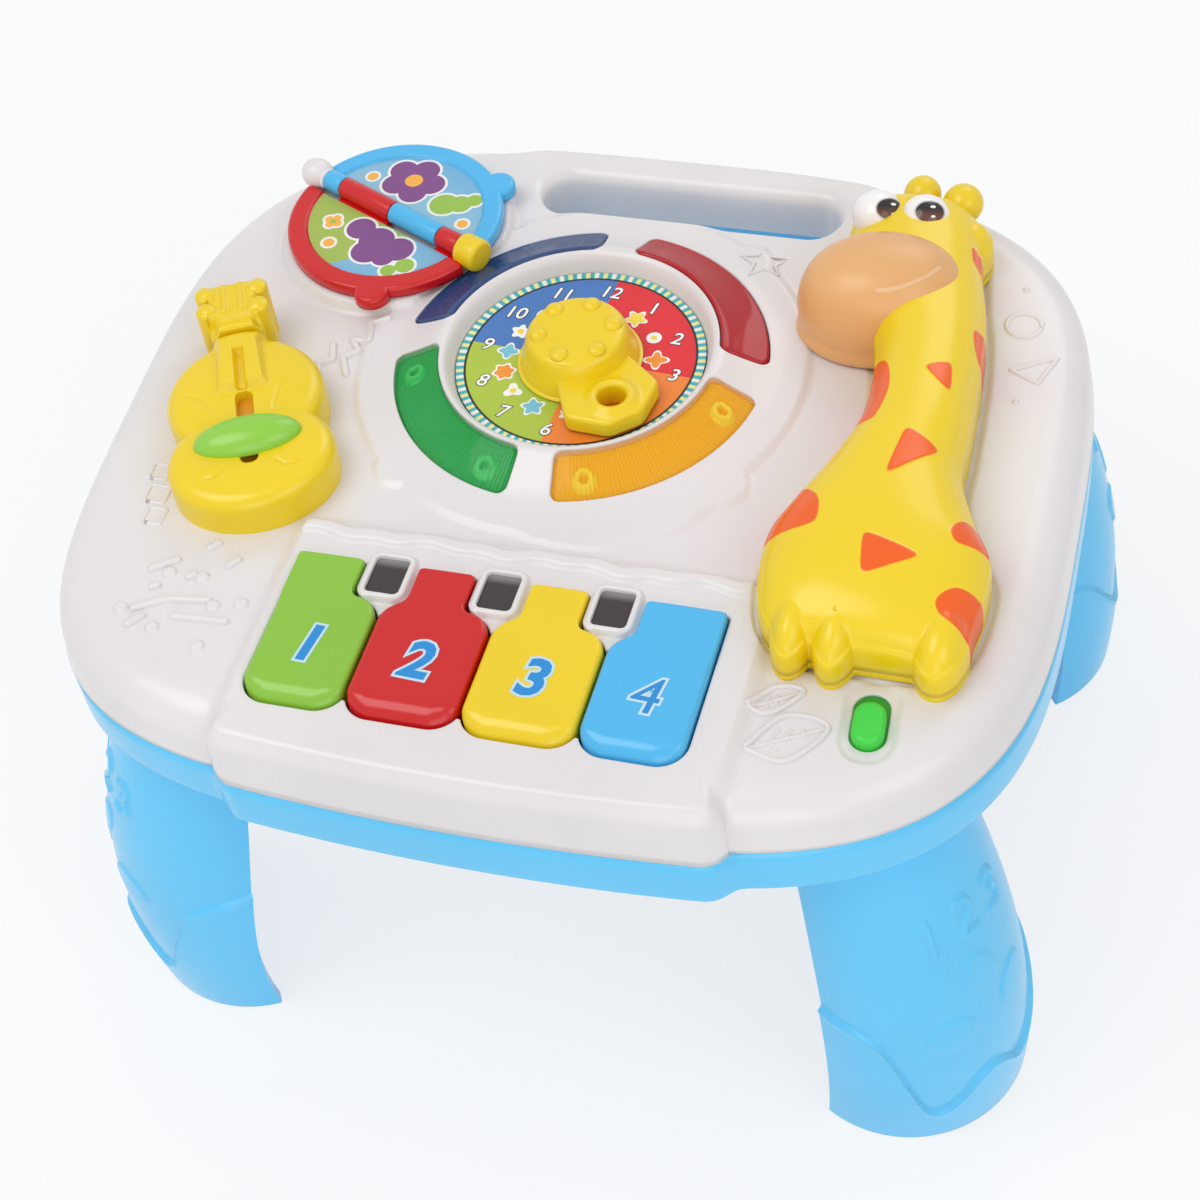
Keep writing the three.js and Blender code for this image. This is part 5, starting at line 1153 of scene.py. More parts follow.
# The pages' printed figures: groups of discs (x, y, radius) and the ink of each
FIGURES = {
    "blue": [("petal", round_group((-6.0, 14.2), (5.6, 5.0), 5, 4.1, 0.3)),
             ("leaf", [(8.4, 11.4, 4.2), (12.2, 14.0, 3.4), (14.6, 17.4, 2.4)]),
             ("warm", [(-6.0, 14.2, 2.6)]), ("warm", [(18.4, 8.2, 1.6), (-17.4, 9.0, 1.6)])],
    "red": [("petal", [(2.6, -10.4, 5.2), (10.2, -9.8, 4.6), (-4.6, -9.2, 4.2), (3.4, -15.2, 4.6),
                       (9.0, -14.6, 3.2)]),
            ("leaf", [(16.4, -13.6, 2.8), (13.8, -17.6, 2.2)]),
            ("warm", round_group((-13.6, -11.4), (1.5, 1.5), 4, 1.3)),
            ("warm", [(-8.4, -18.6, 1.7)]), ("leaf", [(-13.6, -11.4, 0.9)])]}
TINTS = {"petal": colour(126, 68, 134), "leaf": colour(150, 190, 72), "warm": colour(246, 176, 66)}


def discs(u, v, figure, extra):
    """How far inside a group of discs (x, y, radius) the surface lies, in mm, each disc grown by extra."""
    insides = []
    for cx, cy, radius in figure:
        du, dv = u - float(cx), v - float(cy)
        insides.append((float(radius) + extra) - (du * du + dv * dv).root())
    return reduce(Sum.most, insides)


for label, side in (("blue", 1), ("red", -1)):
    card = Finish(f"book_print_{label}", colour(128, 182, 214), 0.3)
    dx, dy = card.x - BOOK[0], card.y - BOOK[1]
    cosine, sine = math.cos(BOOK_TURN), math.sin(BOOK_TURN)
    u, v = dx * cosine + dy * sine, dy * cosine - dx * sine
    if side > 0:
        ground = card.mix((v - 5.0).ramp(0.0, 20.0), colour(140, 190, 212), colour(112, 176, 216))
    else:
        slope = (u * 0.62 + v * -0.42) - 9.2
        ground = card.mix(slope.ramp(-0.15, 0.15), colour(160, 184, 78), colour(122, 180, 214))
    layers = [("edge", group) for _, group in FIGURES[label]] + FIGURES[label]
    for kind, group in layers:
        mask = discs(u, v, group, 0.75 if kind == "edge" else 0.0).ramp(-0.1, 0.1)
        ground = card.mix(mask, ground, colour(238, 238, 236) if kind == "edge" else TINTS[kind])
    card.drive("Base Color", ground)
    card.drive("Roughness", card.noise(300.0, 3.0) * 0.06 + 0.2)
    box = (-27, 27, 3.5, 27) if side > 0 else (-27, 27, -27, -3.5)
    outline = Rim(lambda x, y: np.minimum(disc_depth(x, y, (0, 0), PICTURE_RADIUS + 0.1), side * y - 4.2),
                  steps=0)
    picture = plate(box, 0.6, PAGE_TOP - 0.36, outline)
    make(f"book_print_{label}", placed(picture, BOOK, BOOK_TURN), card.material, f"{label}_page")
white_ball = ellipsoid((-30.6, 0, HINGE_Z), (4.9, 4.4, 4.4))
collar = rod((-27, 0, HINGE_Z), (-25.9, 0, HINGE_Z), 2.9)
make("book_ball", placed(merged(white_ball, collar), BOOK, BOOK_TURN), white.material, "table",
     ["white_end_cap"])
yellow_cap = rod((26.1, 0, HINGE_Z - 0.2), (33.6, 0, HINGE_Z - 0.2), 4.7, 48, 1.4)
make("book_cap", placed(yellow_cap, BOOK, BOOK_TURN), yellow.material, "table", ["yellow_end_cap"])


# Violin: one height field over its body, neck and head
PEGS = [(-7.0, 39.8), (6.6, 39.6), (-7.0, 33.2), (6.6, 32.4)]
GROOVES = [[(-79.2, -5.3), (-81, -8.8), (-80.5, -14), (-79.6, -16.9)],
           [(-105, -16.3), (-101.6, -17), (-98.2, -18.5), (-94.9, -21.6)],
           [(-72.3, -34), (-69.6, -35), (-67.2, -34.1), (-66.1, -32.4)],
           [(-88.6, -43.8), (-86.8, -43), (-85.5, -41.3), (-85.1, -39.7)]]
SLOT_MIDDLE = (0, -8.7)


def violin_local(path):
    """Points of the drawing as points of the violin's own frame."""
    return [tuple(float(v) for v in turned(px, py, VIOLIN, VIOLIN_TURN)) for px, py in path]


def violin_depth(x, y):
    """Depth inside the violin: an ellipse and a disc joined softly, with the head and its pegs."""
    lower = ellipse_depth(x, y, (0, -17.0), (22.2, 18.5))
    upper = disc_depth(x, y, (0, 5.5), 21.2)
    head = box_depth(x, y, (-0.2, 35.4), (7.4, 8.6), 2.2)
    pegs = np.max([disc_depth(x, y, peg, 3.2) for peg in PEGS], axis=0)
    return join_soft(join_soft(lower, upper, 0.6), join_soft(head, pegs, 1.0), 1.0)


def violin_reach(x, y):
    """Width of the violin's rolled edge: 4.2 mm round the body, 1.3 mm round the head."""
    return 4.2 - 2.9 * ramp(y, 22, 28)


def violin_height(x, y):
    """Body, neck with its channel, head, pegs and engraved arcs, in mm."""
    body = VIOLIN_TOP - 0.2 + 0.9 * ramp(violin_depth(x, y), 0, 12)
    half = 6.6 - 0.05 * (y - 5.4)
    neck = np.minimum(half - np.abs(x), np.minimum(y - 5.4, 33 - y))
    z = body + (VIOLIN_TOP + 3.3 - body) * ramp(neck, -0.8, 1.2)
    channel = np.minimum(1.35 - np.abs(x + 0.1), 19.4 - y) * ramp(y, 2.0, 2.6)
    z = z - 2.6 * ramp(channel, -0.3, 0.5) * ramp(neck, -0.6, 0.2)
    head = box_depth(x, y, (-0.2, 36.0), (7.0, 7.6), 1.6)
    z = z + (VIOLIN_TOP + 4.6 - z) * ramp(head, -0.6, 1.3) * ramp(y, 29.4, 30.8)
    for ridge in (-2.4, 2.2):
        z = z + 0.7 * (1 - ramp(np.abs(x - ridge), 0.3, 1.0)) * ramp(y, 31.5, 32.5) * ramp(-y, -43.4, -42)
    z = z + 0.6 * (1 - ramp(np.abs(y - 30.6), 0.3, 0.9)) * ramp(5.6 - np.abs(x), 0, 0.6)
    for px, py in PEGS:
        ball = VIOLIN_TOP + 2.9 + np.sqrt(np.maximum(3.3 ** 2 - (x - px) ** 2 - (y - py) ** 2, 0))
        z = np.where(ball > VIOLIN_TOP + 2.9, join_soft(z, ball, 0.6), z)
    for path in GROOVES:
        z = z - 0.45 * np.exp(-(path_gap(x, y, violin_local(path)) / 0.5) ** 2)
    return z


slot_rim = Rim(lambda x, y: -box_depth(x, y, SLOT_MIDDLE, (2.3, 13.2), 2.0), 0.5, 0.5, VIOLIN_TOP - 3.5,
               steps=4)
fiddle = plate((-23, 23, -37, 45), 0.3, violin_height,
               Rim(violin_depth, violin_reach, violin_reach, DECK - 0.3, steps=9, walls=3), [slot_rim])
make("violin", placed(fiddle, VIOLIN, VIOLIN_TURN), yellow.material, "table", ["violin_body"])
slot_floor = plate((-3, 3, -23, 6), 0.8, VIOLIN_TOP - 2.4,
                   Rim(lambda x, y: box_depth(x, y, SLOT_MIDDLE, (2.8, 13.8), 2), steps=0))
# The slot's floor is the violin's yellow painted darker and more orange: painted shade in the recessed slot.
slot_shaded_yellow = moulded("slot_shaded_yellow", colour(226, 158, 14), 0.4)
make("violin_slot_floor", placed(slot_floor, VIOLIN, VIOLIN_TURN), slot_shaded_yellow.material, "table")
pad, pad_faces = ellipsoid((0, -13.1, VIOLIN_TOP + 0.5), (14.2, 6.6, 5.2), 180, 70, top_only=True)
pad_line = violin_local([(-88.2, -33.6), (-83.2, -29.7), (-76.1, -26.4)])
pad_groove = [(px + 0.2, py + 4.2) for px, py in pad_line]
pad[:, 2] -= 0.5 * np.exp(-(path_gap(pad[:, 0], pad[:, 1], pad_groove) / 0.55) ** 2)
make("violin_pad", placed((pad, pad_faces), VIOLIN, VIOLIN_TURN), oval_green.material, "violin_slider",
     ["violin_slider"])

# Power switch
# The plate under the button is painted darker than the button: painted shade in its recess.
plate_green = plate((-7, 7, -11, 11), 0.4, DECK - 1.6,
                    Rim(lambda x, y: box_depth(x, y, (0, 0), (5.8, 8.4), 5.6), 0.2, 0.2, DECK - 3.2, steps=2))
button = plate((-5, 5, -9, 6), 0.3, DECK + 2.2,
               Rim(lambda x, y: box_depth(x, y, (0, -1.9), (3.9, 6.2), 3.9), 1.3, 1.3, DECK - 1.8, steps=6))
make("switch_plate", placed(plate_green, SWITCH, SWITCH_TURN), switch_shaded_green.material, "power_switch")
make("switch_button", placed(button, SWITCH, SWITCH_TURN), switch_green.material, "power_switch",
     ["power_switch_knob"])

# Animal handset: a soft arch with toes, an ear and spots, over a flat tray
# Toes and ear: middle, half axes in plan and height of each
TOES = [(69.8, -59.6, 5.6, 11.4, 10.5), (80.4, -60.0, 5.9, 11.8, 11.0), (105.0, -58.6, 7.0, 12.2, 11.0)]
HANDSET_SEAM = HANDSET_LOW + 2.6
EAR = (87.0, 76.0, 5.6, 7.4, 10.5)
# Spots: the corners of each and how far they are rounded
SPOTS = [([(85.6, 16.6), (94.2, 9.0), (92.4, 20.4)], 0.9),
         ([(83.6, -22.4), (95.6, -9.6), (85.8, -4.6)], 1.0),
         ([(84.3, -51.7), (98.0, -43.6), (82.4, -39.2)], 1.0),
         ([(70, 24), (70, -2), (77.2, -3.2), (79.4, 9.5), (76.0, 20.6)], 1.2),
         ([(52, -41.0), (62.0, -40.4), (71.0, -38.4), (70.2, -29.3), (60, -20), (52, -18)], 1.2),
         ([(88.0, 68.5), (89.6, 62.0), (94, 60.5), (93, 67)], 0.6),
         ([(94.2, 37), (96.7, 27.6), (104, 24), (103, 42)], 1.0),
         ([(101.8, -33.6), (104.6, -38.0), (111.5, -35.4), (120, -33), (112, -26), (104.5, -28)], 0.8),
         ([(101.7, -54.2), (104.4, -58.2), (109.8, -60.2), (118, -62), (118, -47.6), (106.2, -48.0)], 1.1)]


def handset_outline(x, y):
    """Depth inside the handset with its toes and its ear."""
    depth = handset_depth(x, y)
    for cx, cy, wide, long, _ in TOES:
        depth = join_soft(depth, ellipse_depth(x, y, (cx, cy), (wide, long)), 0.9)
    return join_soft(depth, ellipse_depth(x, y, EAR[:2], EAR[2:4]), 2.0)


def blob_height(x, y, blob):
    """The upper half of an ellipsoid standing on the seam, which falls away outside its outline."""
    cx, cy, wide, long, tall = blob
    rest = 1 - ((x - cx) / wide) ** 2 - ((y - cy) / long) ** 2
    return HANDSET_SPLIT - 1 + tall * np.sqrt(np.maximum(rest, 0)) - 3 * np.maximum(-rest, 0)


def spot_depth(x, y):
    """Depth inside the nearest spot."""
    return np.max([polygon_depth(x, y, corners, soft) for corners, soft in SPOTS], axis=0)


def handset_height(x, y):
    """The arch across each row, with the toes and the ear joined on softly, in mm."""
    along = (y - HANDSET_TAIL) / HANDSET_LENGTH
    left, right, top = (np.interp(along, HANDSET_FINE[:, 0], HANDSET_FINE[:, i]) for i in (1, 2, 3))
    middle, half = (left + right) / 2, (right - left) / 2
    u = np.clip(np.abs((x - HANDSET_X) / HANDSET_WIDTH - middle) / half, 0, 0.997)
    ends = np.clip(np.minimum(along + 0.004, 1.01 - along) / 0.03, 0.0, 1)
    crown = np.sqrt(1 - (1 - ends) ** 2)
    rise = HANDSET_LOW + HANDSET_TALL * top - HANDSET_SPLIT
    z = HANDSET_SPLIT + np.maximum(rise, 0.5) * (1 - u ** 2.4) ** (1 / 2.4) * (0.35 + 0.65 * crown)
    for blob in (*TOES, EAR):
        z = join_soft(z, blob_height(x, y, blob), 0.8)
    return z + 0.22 * ramp(spot_depth(x, y), -0.25, 0.25)


def handset_round(x, y):
    """How far down the shell's rim rounds off: nearly to the seam."""
    return np.maximum(handset_height(x, y) - HANDSET_SPLIT - 0.4, 0.3)


shell_rim = Rim(handset_outline, 0.9, handset_round, HANDSET_SEAM + 0.15, steps=8, walls=2)
HANDSET_BOX = (54, 119, -76.5, 92)
arch = plate(HANDSET_BOX, 0.42, handset_height, shell_rim, closed=HANDSET_SEAM + 0.15)
tray = turned_over(plate(
    HANDSET_BOX, 0.7, -(HANDSET_LOW + 0.1),
    Rim(lambda x, y: handset_outline(x, y) - 0.15, 0.6, 0.6, -(HANDSET_SEAM - 0.15), steps=4, walls=1),
    closed=-(HANDSET_SEAM - 0.15)))
horns = [ellipsoid((HANDSET_X + off, y, DECK + 11), (size, size, size))
         for off, y, size in ((-13.7, 91.8, 5.1), (-2.2, 89.6, 5.5))]
spotted = Finish("spotted_yellow", YELLOW, 0.25)
spot_insides = []
for corners, soft in SPOTS:
    beyond = []
    for (ax, ay), (bx, by) in zip(corners, corners[1:] + corners[:1]):
        length = math.hypot(bx - ax, by - ay)
        east, north = (bx - ax) / length / soft, (by - ay) / length / soft
        edge = (spotted.y - ay) * east - (spotted.x - ax) * north
        beyond.append((edge * -1).power_of_e())
    spot_insides.append((reduce(Sum.__add__, beyond) * -1 + 1.0).ramp(-0.18, 0.18))
orange = spotted.mix(spotted.noise(60.0, 2.0), colour(238, 88, 0), colour(244, 100, 0))
spotted.drive("Base Color", spotted.mix(reduce(Sum.most, spot_insides), YELLOW, orange))
spotted.drive("Roughness", spotted.noise(300.0, 2.0) * 0.05 + 0.22)
spotted.bump(spotted.noise(30.0, 1.0), 0.0003, 0.05)
make("handset_shell", arch, spotted.material, "handset", ["handset_front"])
make("handset_horns", merged(*horns), yellow.material, "handset")
make("handset_tray", tray, yellow.material, "handset", ["handset_back"])

MUZZLE, MUZZLE_TURN, MUZZLE_HALF = (67.9, 50.6), math.radians(10), (22.3, 16.5, 27.0)
BUN = smooth_line([[0.01, 0], [0.95, 0], [1, 0.2], [1, 0.42], [0.93, 0.63], [0.8, 0.79], [0.56, 0.92],
                   [0.26, 0.985], [0.01, 1]], 90)
bun, bun_faces = lathe(BUN, 130)
bun = bun * np.array(MUZZLE_HALF) + np.array([0, 0, DECK + 0.3])


def muzzle_height(x, y):
    """The muzzle's upper surface, read from its turned section."""
    u, v = turned(x, y, MUZZLE, MUZZLE_TURN)
    upper = BUN[BUN[:, 1] > 0.45][::-1]
    return DECK + 0.3 + MUZZLE_HALF[2] * np.interp(np.hypot(u / MUZZLE_HALF[0], v / MUZZLE_HALF[1]),
                                                   upper[:, 0], upper[:, 1])


make("muzzle", placed((bun, bun_faces), MUZZLE, MUZZLE_TURN), beige.material, "handset", ["handset_muzzle"])
# The smile line is a raised ribbon painted lighter than the muzzle: a painted highlight along it.
mouth = smooth_line([(68.8, 39.3), (73.1, 40.6), (77.1, 42.9), (80.9, 46.6), (83.6, 51.2)], 80)
smile = ribbon(mouth, 0.9, 0.22, muzzle_height)
make("muzzle_line_highlight", smile, moulded("muzzle_line_highlight", colour(238, 192, 146), 0.33).material, "handset")

# Camera axes, in which the pupils are laid out
azimuth, elevation, roll = (math.radians(v) for v in (23.642, 49.222, -10.001))
back = np.array([math.sin(azimuth) * math.cos(elevation), -math.cos(azimuth) * math.cos(elevation),
                 math.sin(elevation)])
level = np.array([math.cos(azimuth), math.sin(azimuth), 0])
rise = np.cross(level, -back)
view_right = math.cos(roll) * level + math.sin(roll) * rise
view_up = -math.sin(roll) * level + math.cos(roll) * rise


def oval(a, b, wide, tall, soft):
    """1 inside an oval of half axes wide and tall, 0 outside, with a soft edge."""
    return 1.0 - ((a / wide) * (a / wide) + (b / tall) * (b / tall)).ramp(1 - soft, 1 + soft)


# Each eye's centre, and how far its pupil is shifted to the right and up as the camera sees it
EYE_RADIUS = 6.8
EYES = {"left": ((61.6, 75.4, HANDSET_LOW + 17.6), (2.75, 0.6)),
        "right": ((74.4, 75.4, HANDSET_LOW + 17.6), (0.5, 1.1))}
for side, (centre, (shift_x, shift_y)) in EYES.items():
    eye = Finish(f"eye_{side}", colour(245, 243, 243), 0.16)
    dx, dy, dz = eye.x - centre[0], eye.y - centre[1], eye.z - centre[2]
    a, b = (dx * float(v[0]) + dy * float(v[1]) + dz * float(v[2]) for v in (view_right, view_up))
    a, b = a - shift_x, b - shift_y
    pupil = oval(a, b, 3.8, 2.9, 0.06)
    iris = eye.mix(b.ramp(-1.6, 1.2), colour(104, 62, 48), colour(28, 22, 22))
    ball = eye.mix(oval(a, b, 4.2, 3.3, 0.05), colour(246, 244, 243), colour(205, 200, 200))
    skin = eye.mix(pupil, ball, iris)
    glint = oval(a - 0.8, b - 1.35, 0.75, 0.38, 0.2).most(oval(a - 0.75, b + 1.3, 0.6, 0.32, 0.2))
    eye.drive("Base Color", eye.mix(glint, skin, (0.95, 0.95, 0.95)))
    eye.drive("Roughness", eye.noise(400.0, 2.0) * 0.06 + 0.13)
    eyeball = ellipsoid(centre, (EYE_RADIUS, EYE_RADIUS, EYE_RADIUS - 0.3), 80, 50)
    make(f"eye_{side}", eyeball, eye.material, "handset", [f"handset_eye_{side}"])


# Legs: a curved shell of C section, whose skin spreads evenly to both sides of a middle direction
LEG_HEIGHT = UNDER - 0.3
LEG_MIDDLE, LEG_SPREAD = math.radians(34.6), math.radians(85)
LEG_ARC = 46.0                      # half the arc of a leg's skin, in mm
LEG_REACH = {-1: 113.0, 1: 111.0}   # how far the front and the back legs stand out from the middle
LEG_WIDER = {-1: 16.0, 1: 6.0}      # degrees by which a leg's inner edge reaches further round at the top


def leg_surface(turn, share, out):
    """Points of a leg's skin: turn about the leg's own axis, share of the height, out from the outer face."""
    bulge = 4 * share * (1 - share)
    x = HALF_WIDTH + 0.8 - (33.3 + 11.3 * share) + 6.1 * bulge
    y = -(39.2 + 2.0 * share) + 4.2 * bulge
    radius = 31.3 - 8.2 * share + 2.3 * bulge + out
    return np.stack([x + radius * np.cos(turn), y + radius * np.sin(turn), share * LEG_HEIGHT], -1)


DIGITS = [[(-0.2, 0.28), (0, 0.5), (0, -0.5)],
          [(-0.28, 0.28), (-0.14, 0.47), (0.14, 0.47), (0.28, 0.24), (0.16, 0), (-0.28, -0.5), (0.3, -0.5)],
          [(-0.26, 0.42), (0.02, 0.5), (0.26, 0.3), (0.14, 0.07), (-0.06, 0.02), (0.2, -0.06), (0.29, -0.28),
           (0.05, -0.5), (-0.28, -0.38)]]
DIGIT_PLACES = [(10.8, 87.2), (-1.4, 88.8), (-14.6, 87.4)]
BOOT = smooth_line([[-1, 0.4], [-0.8, 0.37], [-0.6, 0.27], [-0.42, 0.19], [-0.24, 0.165], [-0.1, 0.22],
                    [0.0, 0.243], [0.11, 0.222], [0.23, 0.16], [0.34, 0.125], [0.43, 0.155], [0.5, 0.235],
                    [0.57, 0.33], [0.65, 0.41], [0.78, 0.444], [0.9, 0.45], [1, 0.457]], 300)
LEG_LEAVES = [((-1.6, 69.0), (5.0, 8.0), -0.5), ((-11.5, 55.5), (5.4, 8.0), 0.5),
              ((11.2, 51.0), (7.6, 5.8), -0.3)]


def leg_relief(a, v, around, share, mirror):
    """Height of the boot, the numbers and the leaves above the leg, over arc a and height v in mm."""
    edge = (np.interp(around, BOOT[:, 0], BOOT[:, 1]) - share) * LEG_HEIGHT
    relief = 1.1 * ramp(edge, -0.3, 0.9) + 0.35 * np.exp(-((edge - 1.4) / 0.8) ** 2)
    places = DIGIT_PLACES if mirror < 0 else DIGIT_PLACES[::-1]
    for digit, (px, py) in zip(DIGITS, places):
        gap = path_gap((a - px) * mirror / 11.0, (v - py) / 11.0, digit) * 11.0
        relief = relief + 0.9 * (1 - ramp(gap, 0.6, 1.3))
    for centre, half, turn in LEG_LEAVES:
        u, w = turned(a, v, centre, turn)
        relief = relief + 0.7 * ramp(ellipse_depth(u, w, (0, 0), half), -0.2, 0.7)
    return relief


def leg_part(side_x, side_y):
    """A leg: its outer and inner skin as one loop, closed at the foot and at the top, with a round plate on
    top. It is built for the back right corner, counting y from the edge, and mirrored to its own."""
    share = np.linspace(0, 1, 190)
    t, h = np.meshgrid(np.linspace(-1, 1, 170) * LEG_SPREAD + LEG_MIDDLE, share)
    around = (t - LEG_MIDDLE) / LEG_SPREAD
    relief = leg_relief(around * LEG_ARC, h * LEG_HEIGHT, around, h, side_x * side_y)
    t = t + math.radians(LEG_WIDER[side_x]) * ramp(around, 0.3, 1.0) * ramp(h, 0.0, 0.75)
    outer, inner = leg_surface(t, h, relief), leg_surface(t, h, -2.6)
    loop = np.concatenate([outer, inner[:, ::-1]], axis=1)
    n = loop.shape[1]
    points, faces = rings(loop, close_ends=False)
    i = np.arange(n // 2 - 1)
    last = (len(share) - 1) * n
    foot_cap = np.column_stack([i + 1, i, n - 1 - i, n - 2 - i])
    top_cap = np.column_stack([last + i, last + i + 1, last + n - 2 - i, last + n - 1 - i])
    top = lathe([[0.01, UNDER - 2.6], [22.6, UNDER - 2.6], [22.6, LEG_HEIGHT], [0.01, LEG_HEIGHT]], 60,
                (HALF_WIDTH + 0.8 - 44.6, -41.2))
    both, faces = merged((points, np.vstack([faces, foot_cap, top_cap])), top)
    both = both * np.array([side_x, side_y, 1.0]) + np.array([0, side_y * LEG_REACH[side_y], 0])
    if side_x * side_y < 0:
        faces = turned_round(faces)
    return both, faces


for along, side_y in (("front", -1), ("back", 1)):
    for across, side_x in (("left", -1), ("right", 1)):
        make(f"leg_shell_{along}_{across}", leg_part(side_x, side_y), sky.material, "table",
             [f"leg_{along}_{across}"], sharp=50)


# The tray under the hood, built upside down and turned over
GRILLE, GRILLE_RADIUS = (-90, 2), 13.8
GRILLE_BOX = (-106.0, -74.0, -14.0, 18.0)
DOOR, DOOR_HALF = (80.7, 4), (32.95, 25.65)
SCREWS = [(-116, 38), (116, 38), (-60, 93), (60, 93), (-44, -109.5), (44, -109.5)]


def tray_outline(x, y):
    """Depth inside the tray, which stands 0.9 mm further out than the hood."""
    return outline_depth(x, y) + 0.9


def around_screws(x, y):
    """Depth outside the screws' holes."""
    return -np.max([disc_depth(x, y, place, 3.3) for place in SCREWS], axis=0)


def door_opening(x, y):
    """Depth outside the battery door's opening."""
    return -box_depth(x, y, DOOR, DOOR_HALF, 1.0)


def grille_slots(x, y):
    """Depth outside the speaker's five slots, which are chords of one circle."""
    cuts = []
    for off in (-12.4, -6.2, 0.0, 6.2, 12.4):
        half = math.sqrt(GRILLE_RADIUS ** 2 - off ** 2)
        cuts.append(box_depth(x, y, (GRILLE[0], GRILLE[1] + off), (half, 1.3), 1.2))
    return -np.max(cuts, axis=0)


gx, gy = np.meshgrid(lines((-133, 18), (-106, 22), (-74, 143), (131, 0)),
                     lines((-122, 74), (-14, 22), (18, 68), (115, 0)))
skin = sheet(gx, gy, lambda x, y: 0.05 - UNDER + SKIRT_DROP * (1 - ramp(tray_outline(x, y), 5, 9)), [
    Rim(tray_outline, 1.6, 1.6, 0.05 - SEAM, steps=5, walls=3, under=5.0),
    Rim(handle_hole, 0.8, 0.8, 0.05 - SEAM, steps=3, walls=2),
    Rim(around_screws, 0.4, 0.4, 5 - SEAM, steps=2, walls=1),
    Rim(door_opening, 0.5, 0.5, 5 - SEAM, steps=2, walls=1)], 1.5, drop_faces=within(GRILLE_BOX))
gx, gy = np.meshgrid(np.linspace(-106, -74, 66), np.linspace(-14, 18, 66))
grille = sheet(gx, gy, flat(0.05 - UNDER), [Rim(grille_slots, 0.4, 0.4, -(UNDER + 3), steps=3, walls=1)], 0.5)
make("tray", turned_over(merged(skin, grille)), sky.material, "table", ["bottom_shell"])
# A black sheet inside the tray, behind its slots and screw holes: painted shade for the dark inside of the
# hollow body.
inner = plate((-131, 129, -120, 112), 3.0, -(UNDER + 3.4),
              Rim(lambda x, y: outline_depth(x, y) - 3.0, steps=0),
              [Rim(lambda x, y: handle_hole(x, y) - 1.0, steps=0),
               Rim(lambda x, y: door_opening(x, y) - 0.5, steps=0)])
make("tray_inside_shade", turned_over(inner), black.material, "table")


# Stage: floor, light and camera
def looked_at(tree, share):
    """A socket that is share for camera, glossy and transmission rays, and 0 for the rays that light."""
    ray = tree.nodes.new("ShaderNodeLightPath")
    total = ray.outputs["Is Camera Ray"]
    for kind in ("Is Glossy Ray", "Is Transmission Ray"):
        either = tree.nodes.new("ShaderNodeMath")
        either.operation = "MAXIMUM"
        tree.links.new(total, either.inputs[0])
        tree.links.new(ray.outputs[kind], either.inputs[1])
        total = either.outputs[0]
    scaled = tree.nodes.new("ShaderNodeMath")
    scaled.operation = "MULTIPLY"
    scaled.inputs[1].default_value = share
    tree.links.new(total, scaled.inputs[0])
    return scaled.outputs[0]


floor_mesh = bpy.data.meshes.new("floor")
floor_corners = [(x, y, -0.0003) for x, y in ((-6, -6), (6, -6), (6, 6), (-6, 6))]
floor_mesh.from_pydata(floor_corners, [], [(0, 1, 2, 3)])
floor = bpy.data.objects.new("floor", floor_mesh)
bpy.context.scene.collection.objects.link(floor)
ground = bpy.data.materials.new("floor_pale")
ground.use_nodes = True
pale = ground.node_tree
pale.nodes["Principled BSDF"].inputs["Base Color"].default_value = (0.92, 0.92, 0.92, 1)
pale.nodes["Principled BSDF"].inputs["Roughness"].default_value = 0.9
blend = pale.nodes.new("ShaderNodeMixShader")
plain = pale.nodes.new("ShaderNodeEmission")
plain.inputs["Color"].default_value = (1, 1, 1, 1)
pale.links.new(looked_at(pale, 0.72), blend.inputs[0])
pale.links.new(pale.nodes["Principled BSDF"].outputs[0], blend.inputs[1])
pale.links.new(plain.outputs[0], blend.inputs[2])
pale.links.new(blend.outputs[0], pale.nodes["Material Output"].inputs["Surface"])
floor_mesh.materials.append(ground)

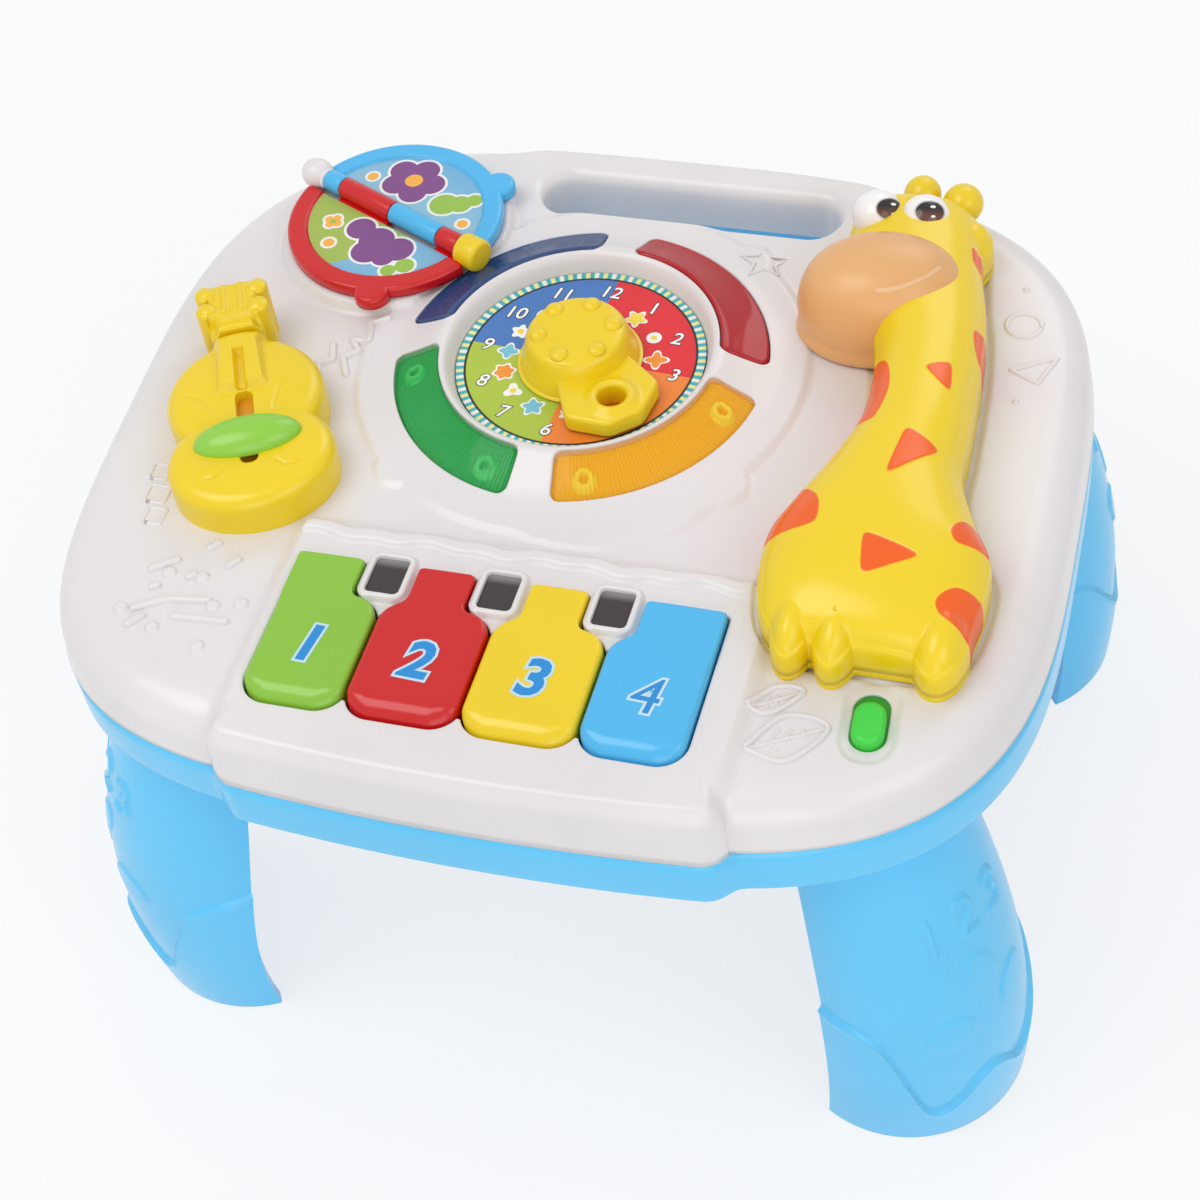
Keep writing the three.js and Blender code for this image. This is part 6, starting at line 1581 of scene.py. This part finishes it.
world = bpy.data.worlds.new("studio")
bpy.context.scene.world = world
world.use_nodes = True
nodes, links = world.node_tree.nodes, world.node_tree.links
background = nodes["Background"]
background.inputs["Color"].default_value = (1, 1, 1, 1)
background.inputs["Strength"].default_value = 0.6
white_sky = nodes.new("ShaderNodeBackground")
white_sky.inputs["Color"].default_value = (1, 1, 1, 1)
white_sky.inputs["Strength"].default_value = 1.0
either_sky = nodes.new("ShaderNodeMixShader")
links.new(looked_at(world.node_tree, 1.0), either_sky.inputs[0])
links.new(background.outputs[0], either_sky.inputs[1])
links.new(white_sky.outputs[0], either_sky.inputs[2])
links.new(either_sky.outputs[0], nodes["World Output"].inputs["Surface"])


def lamp(name, place, aim, size, power):
    """A round lamp size metres wide at place, facing aim, with power in watts."""
    light = bpy.data.lights.new(name, "AREA")
    light.shape, light.size, light.energy = "DISK", size, power
    holder = bpy.data.objects.new(name, light)
    bpy.context.scene.collection.objects.link(holder)
    holder.location = place
    direction = np.array(aim) - np.array(place)
    holder.rotation_mode = "QUATERNION"
    holder.rotation_quaternion = Vector(direction).to_track_quat("-Z", "Y")


lamp("key_light", (-0.5, -0.35, 1.3), (0, 0, 0.14), 0.9, 5.5)
lamp("fill_light", (0.9, -0.6, 0.9), (0, 0, 0.12), 0.8, 2.4)
lamp("front_light", (0.35, -1.25, 0.5), (0, 0, 0.08), 0.8, 2.2)
lamp("back_light", (0.2, 1.0, 0.9), (0, 0, 0.14), 0.7, 2.0)

camera_data = bpy.data.cameras.new("camera")
camera = bpy.data.objects.new("camera", camera_data)
bpy.context.scene.collection.objects.link(camera)
# The focal length is 2555.297 of the frame's 1200 pixels
SENSOR = 36.0
camera_data.sensor_width = SENSOR
camera_data.lens = SENSOR * 2555.297 / 1200
camera_data.clip_start, camera_data.clip_end = 0.01, 20
target = (np.array([-19.638, 34.104, 34.518]) + DRAWING_SHIFT) * MM
place = target + 0.776896 * back   # metres
matrix_rows = [[view_right[i], view_up[i], back[i], place[i]] for i in range(3)]
camera.matrix_world = Matrix(matrix_rows + [[0, 0, 0, 1]])
bpy.context.scene.camera = camera
bpy.context.scene.view_settings.view_transform = "Standard"
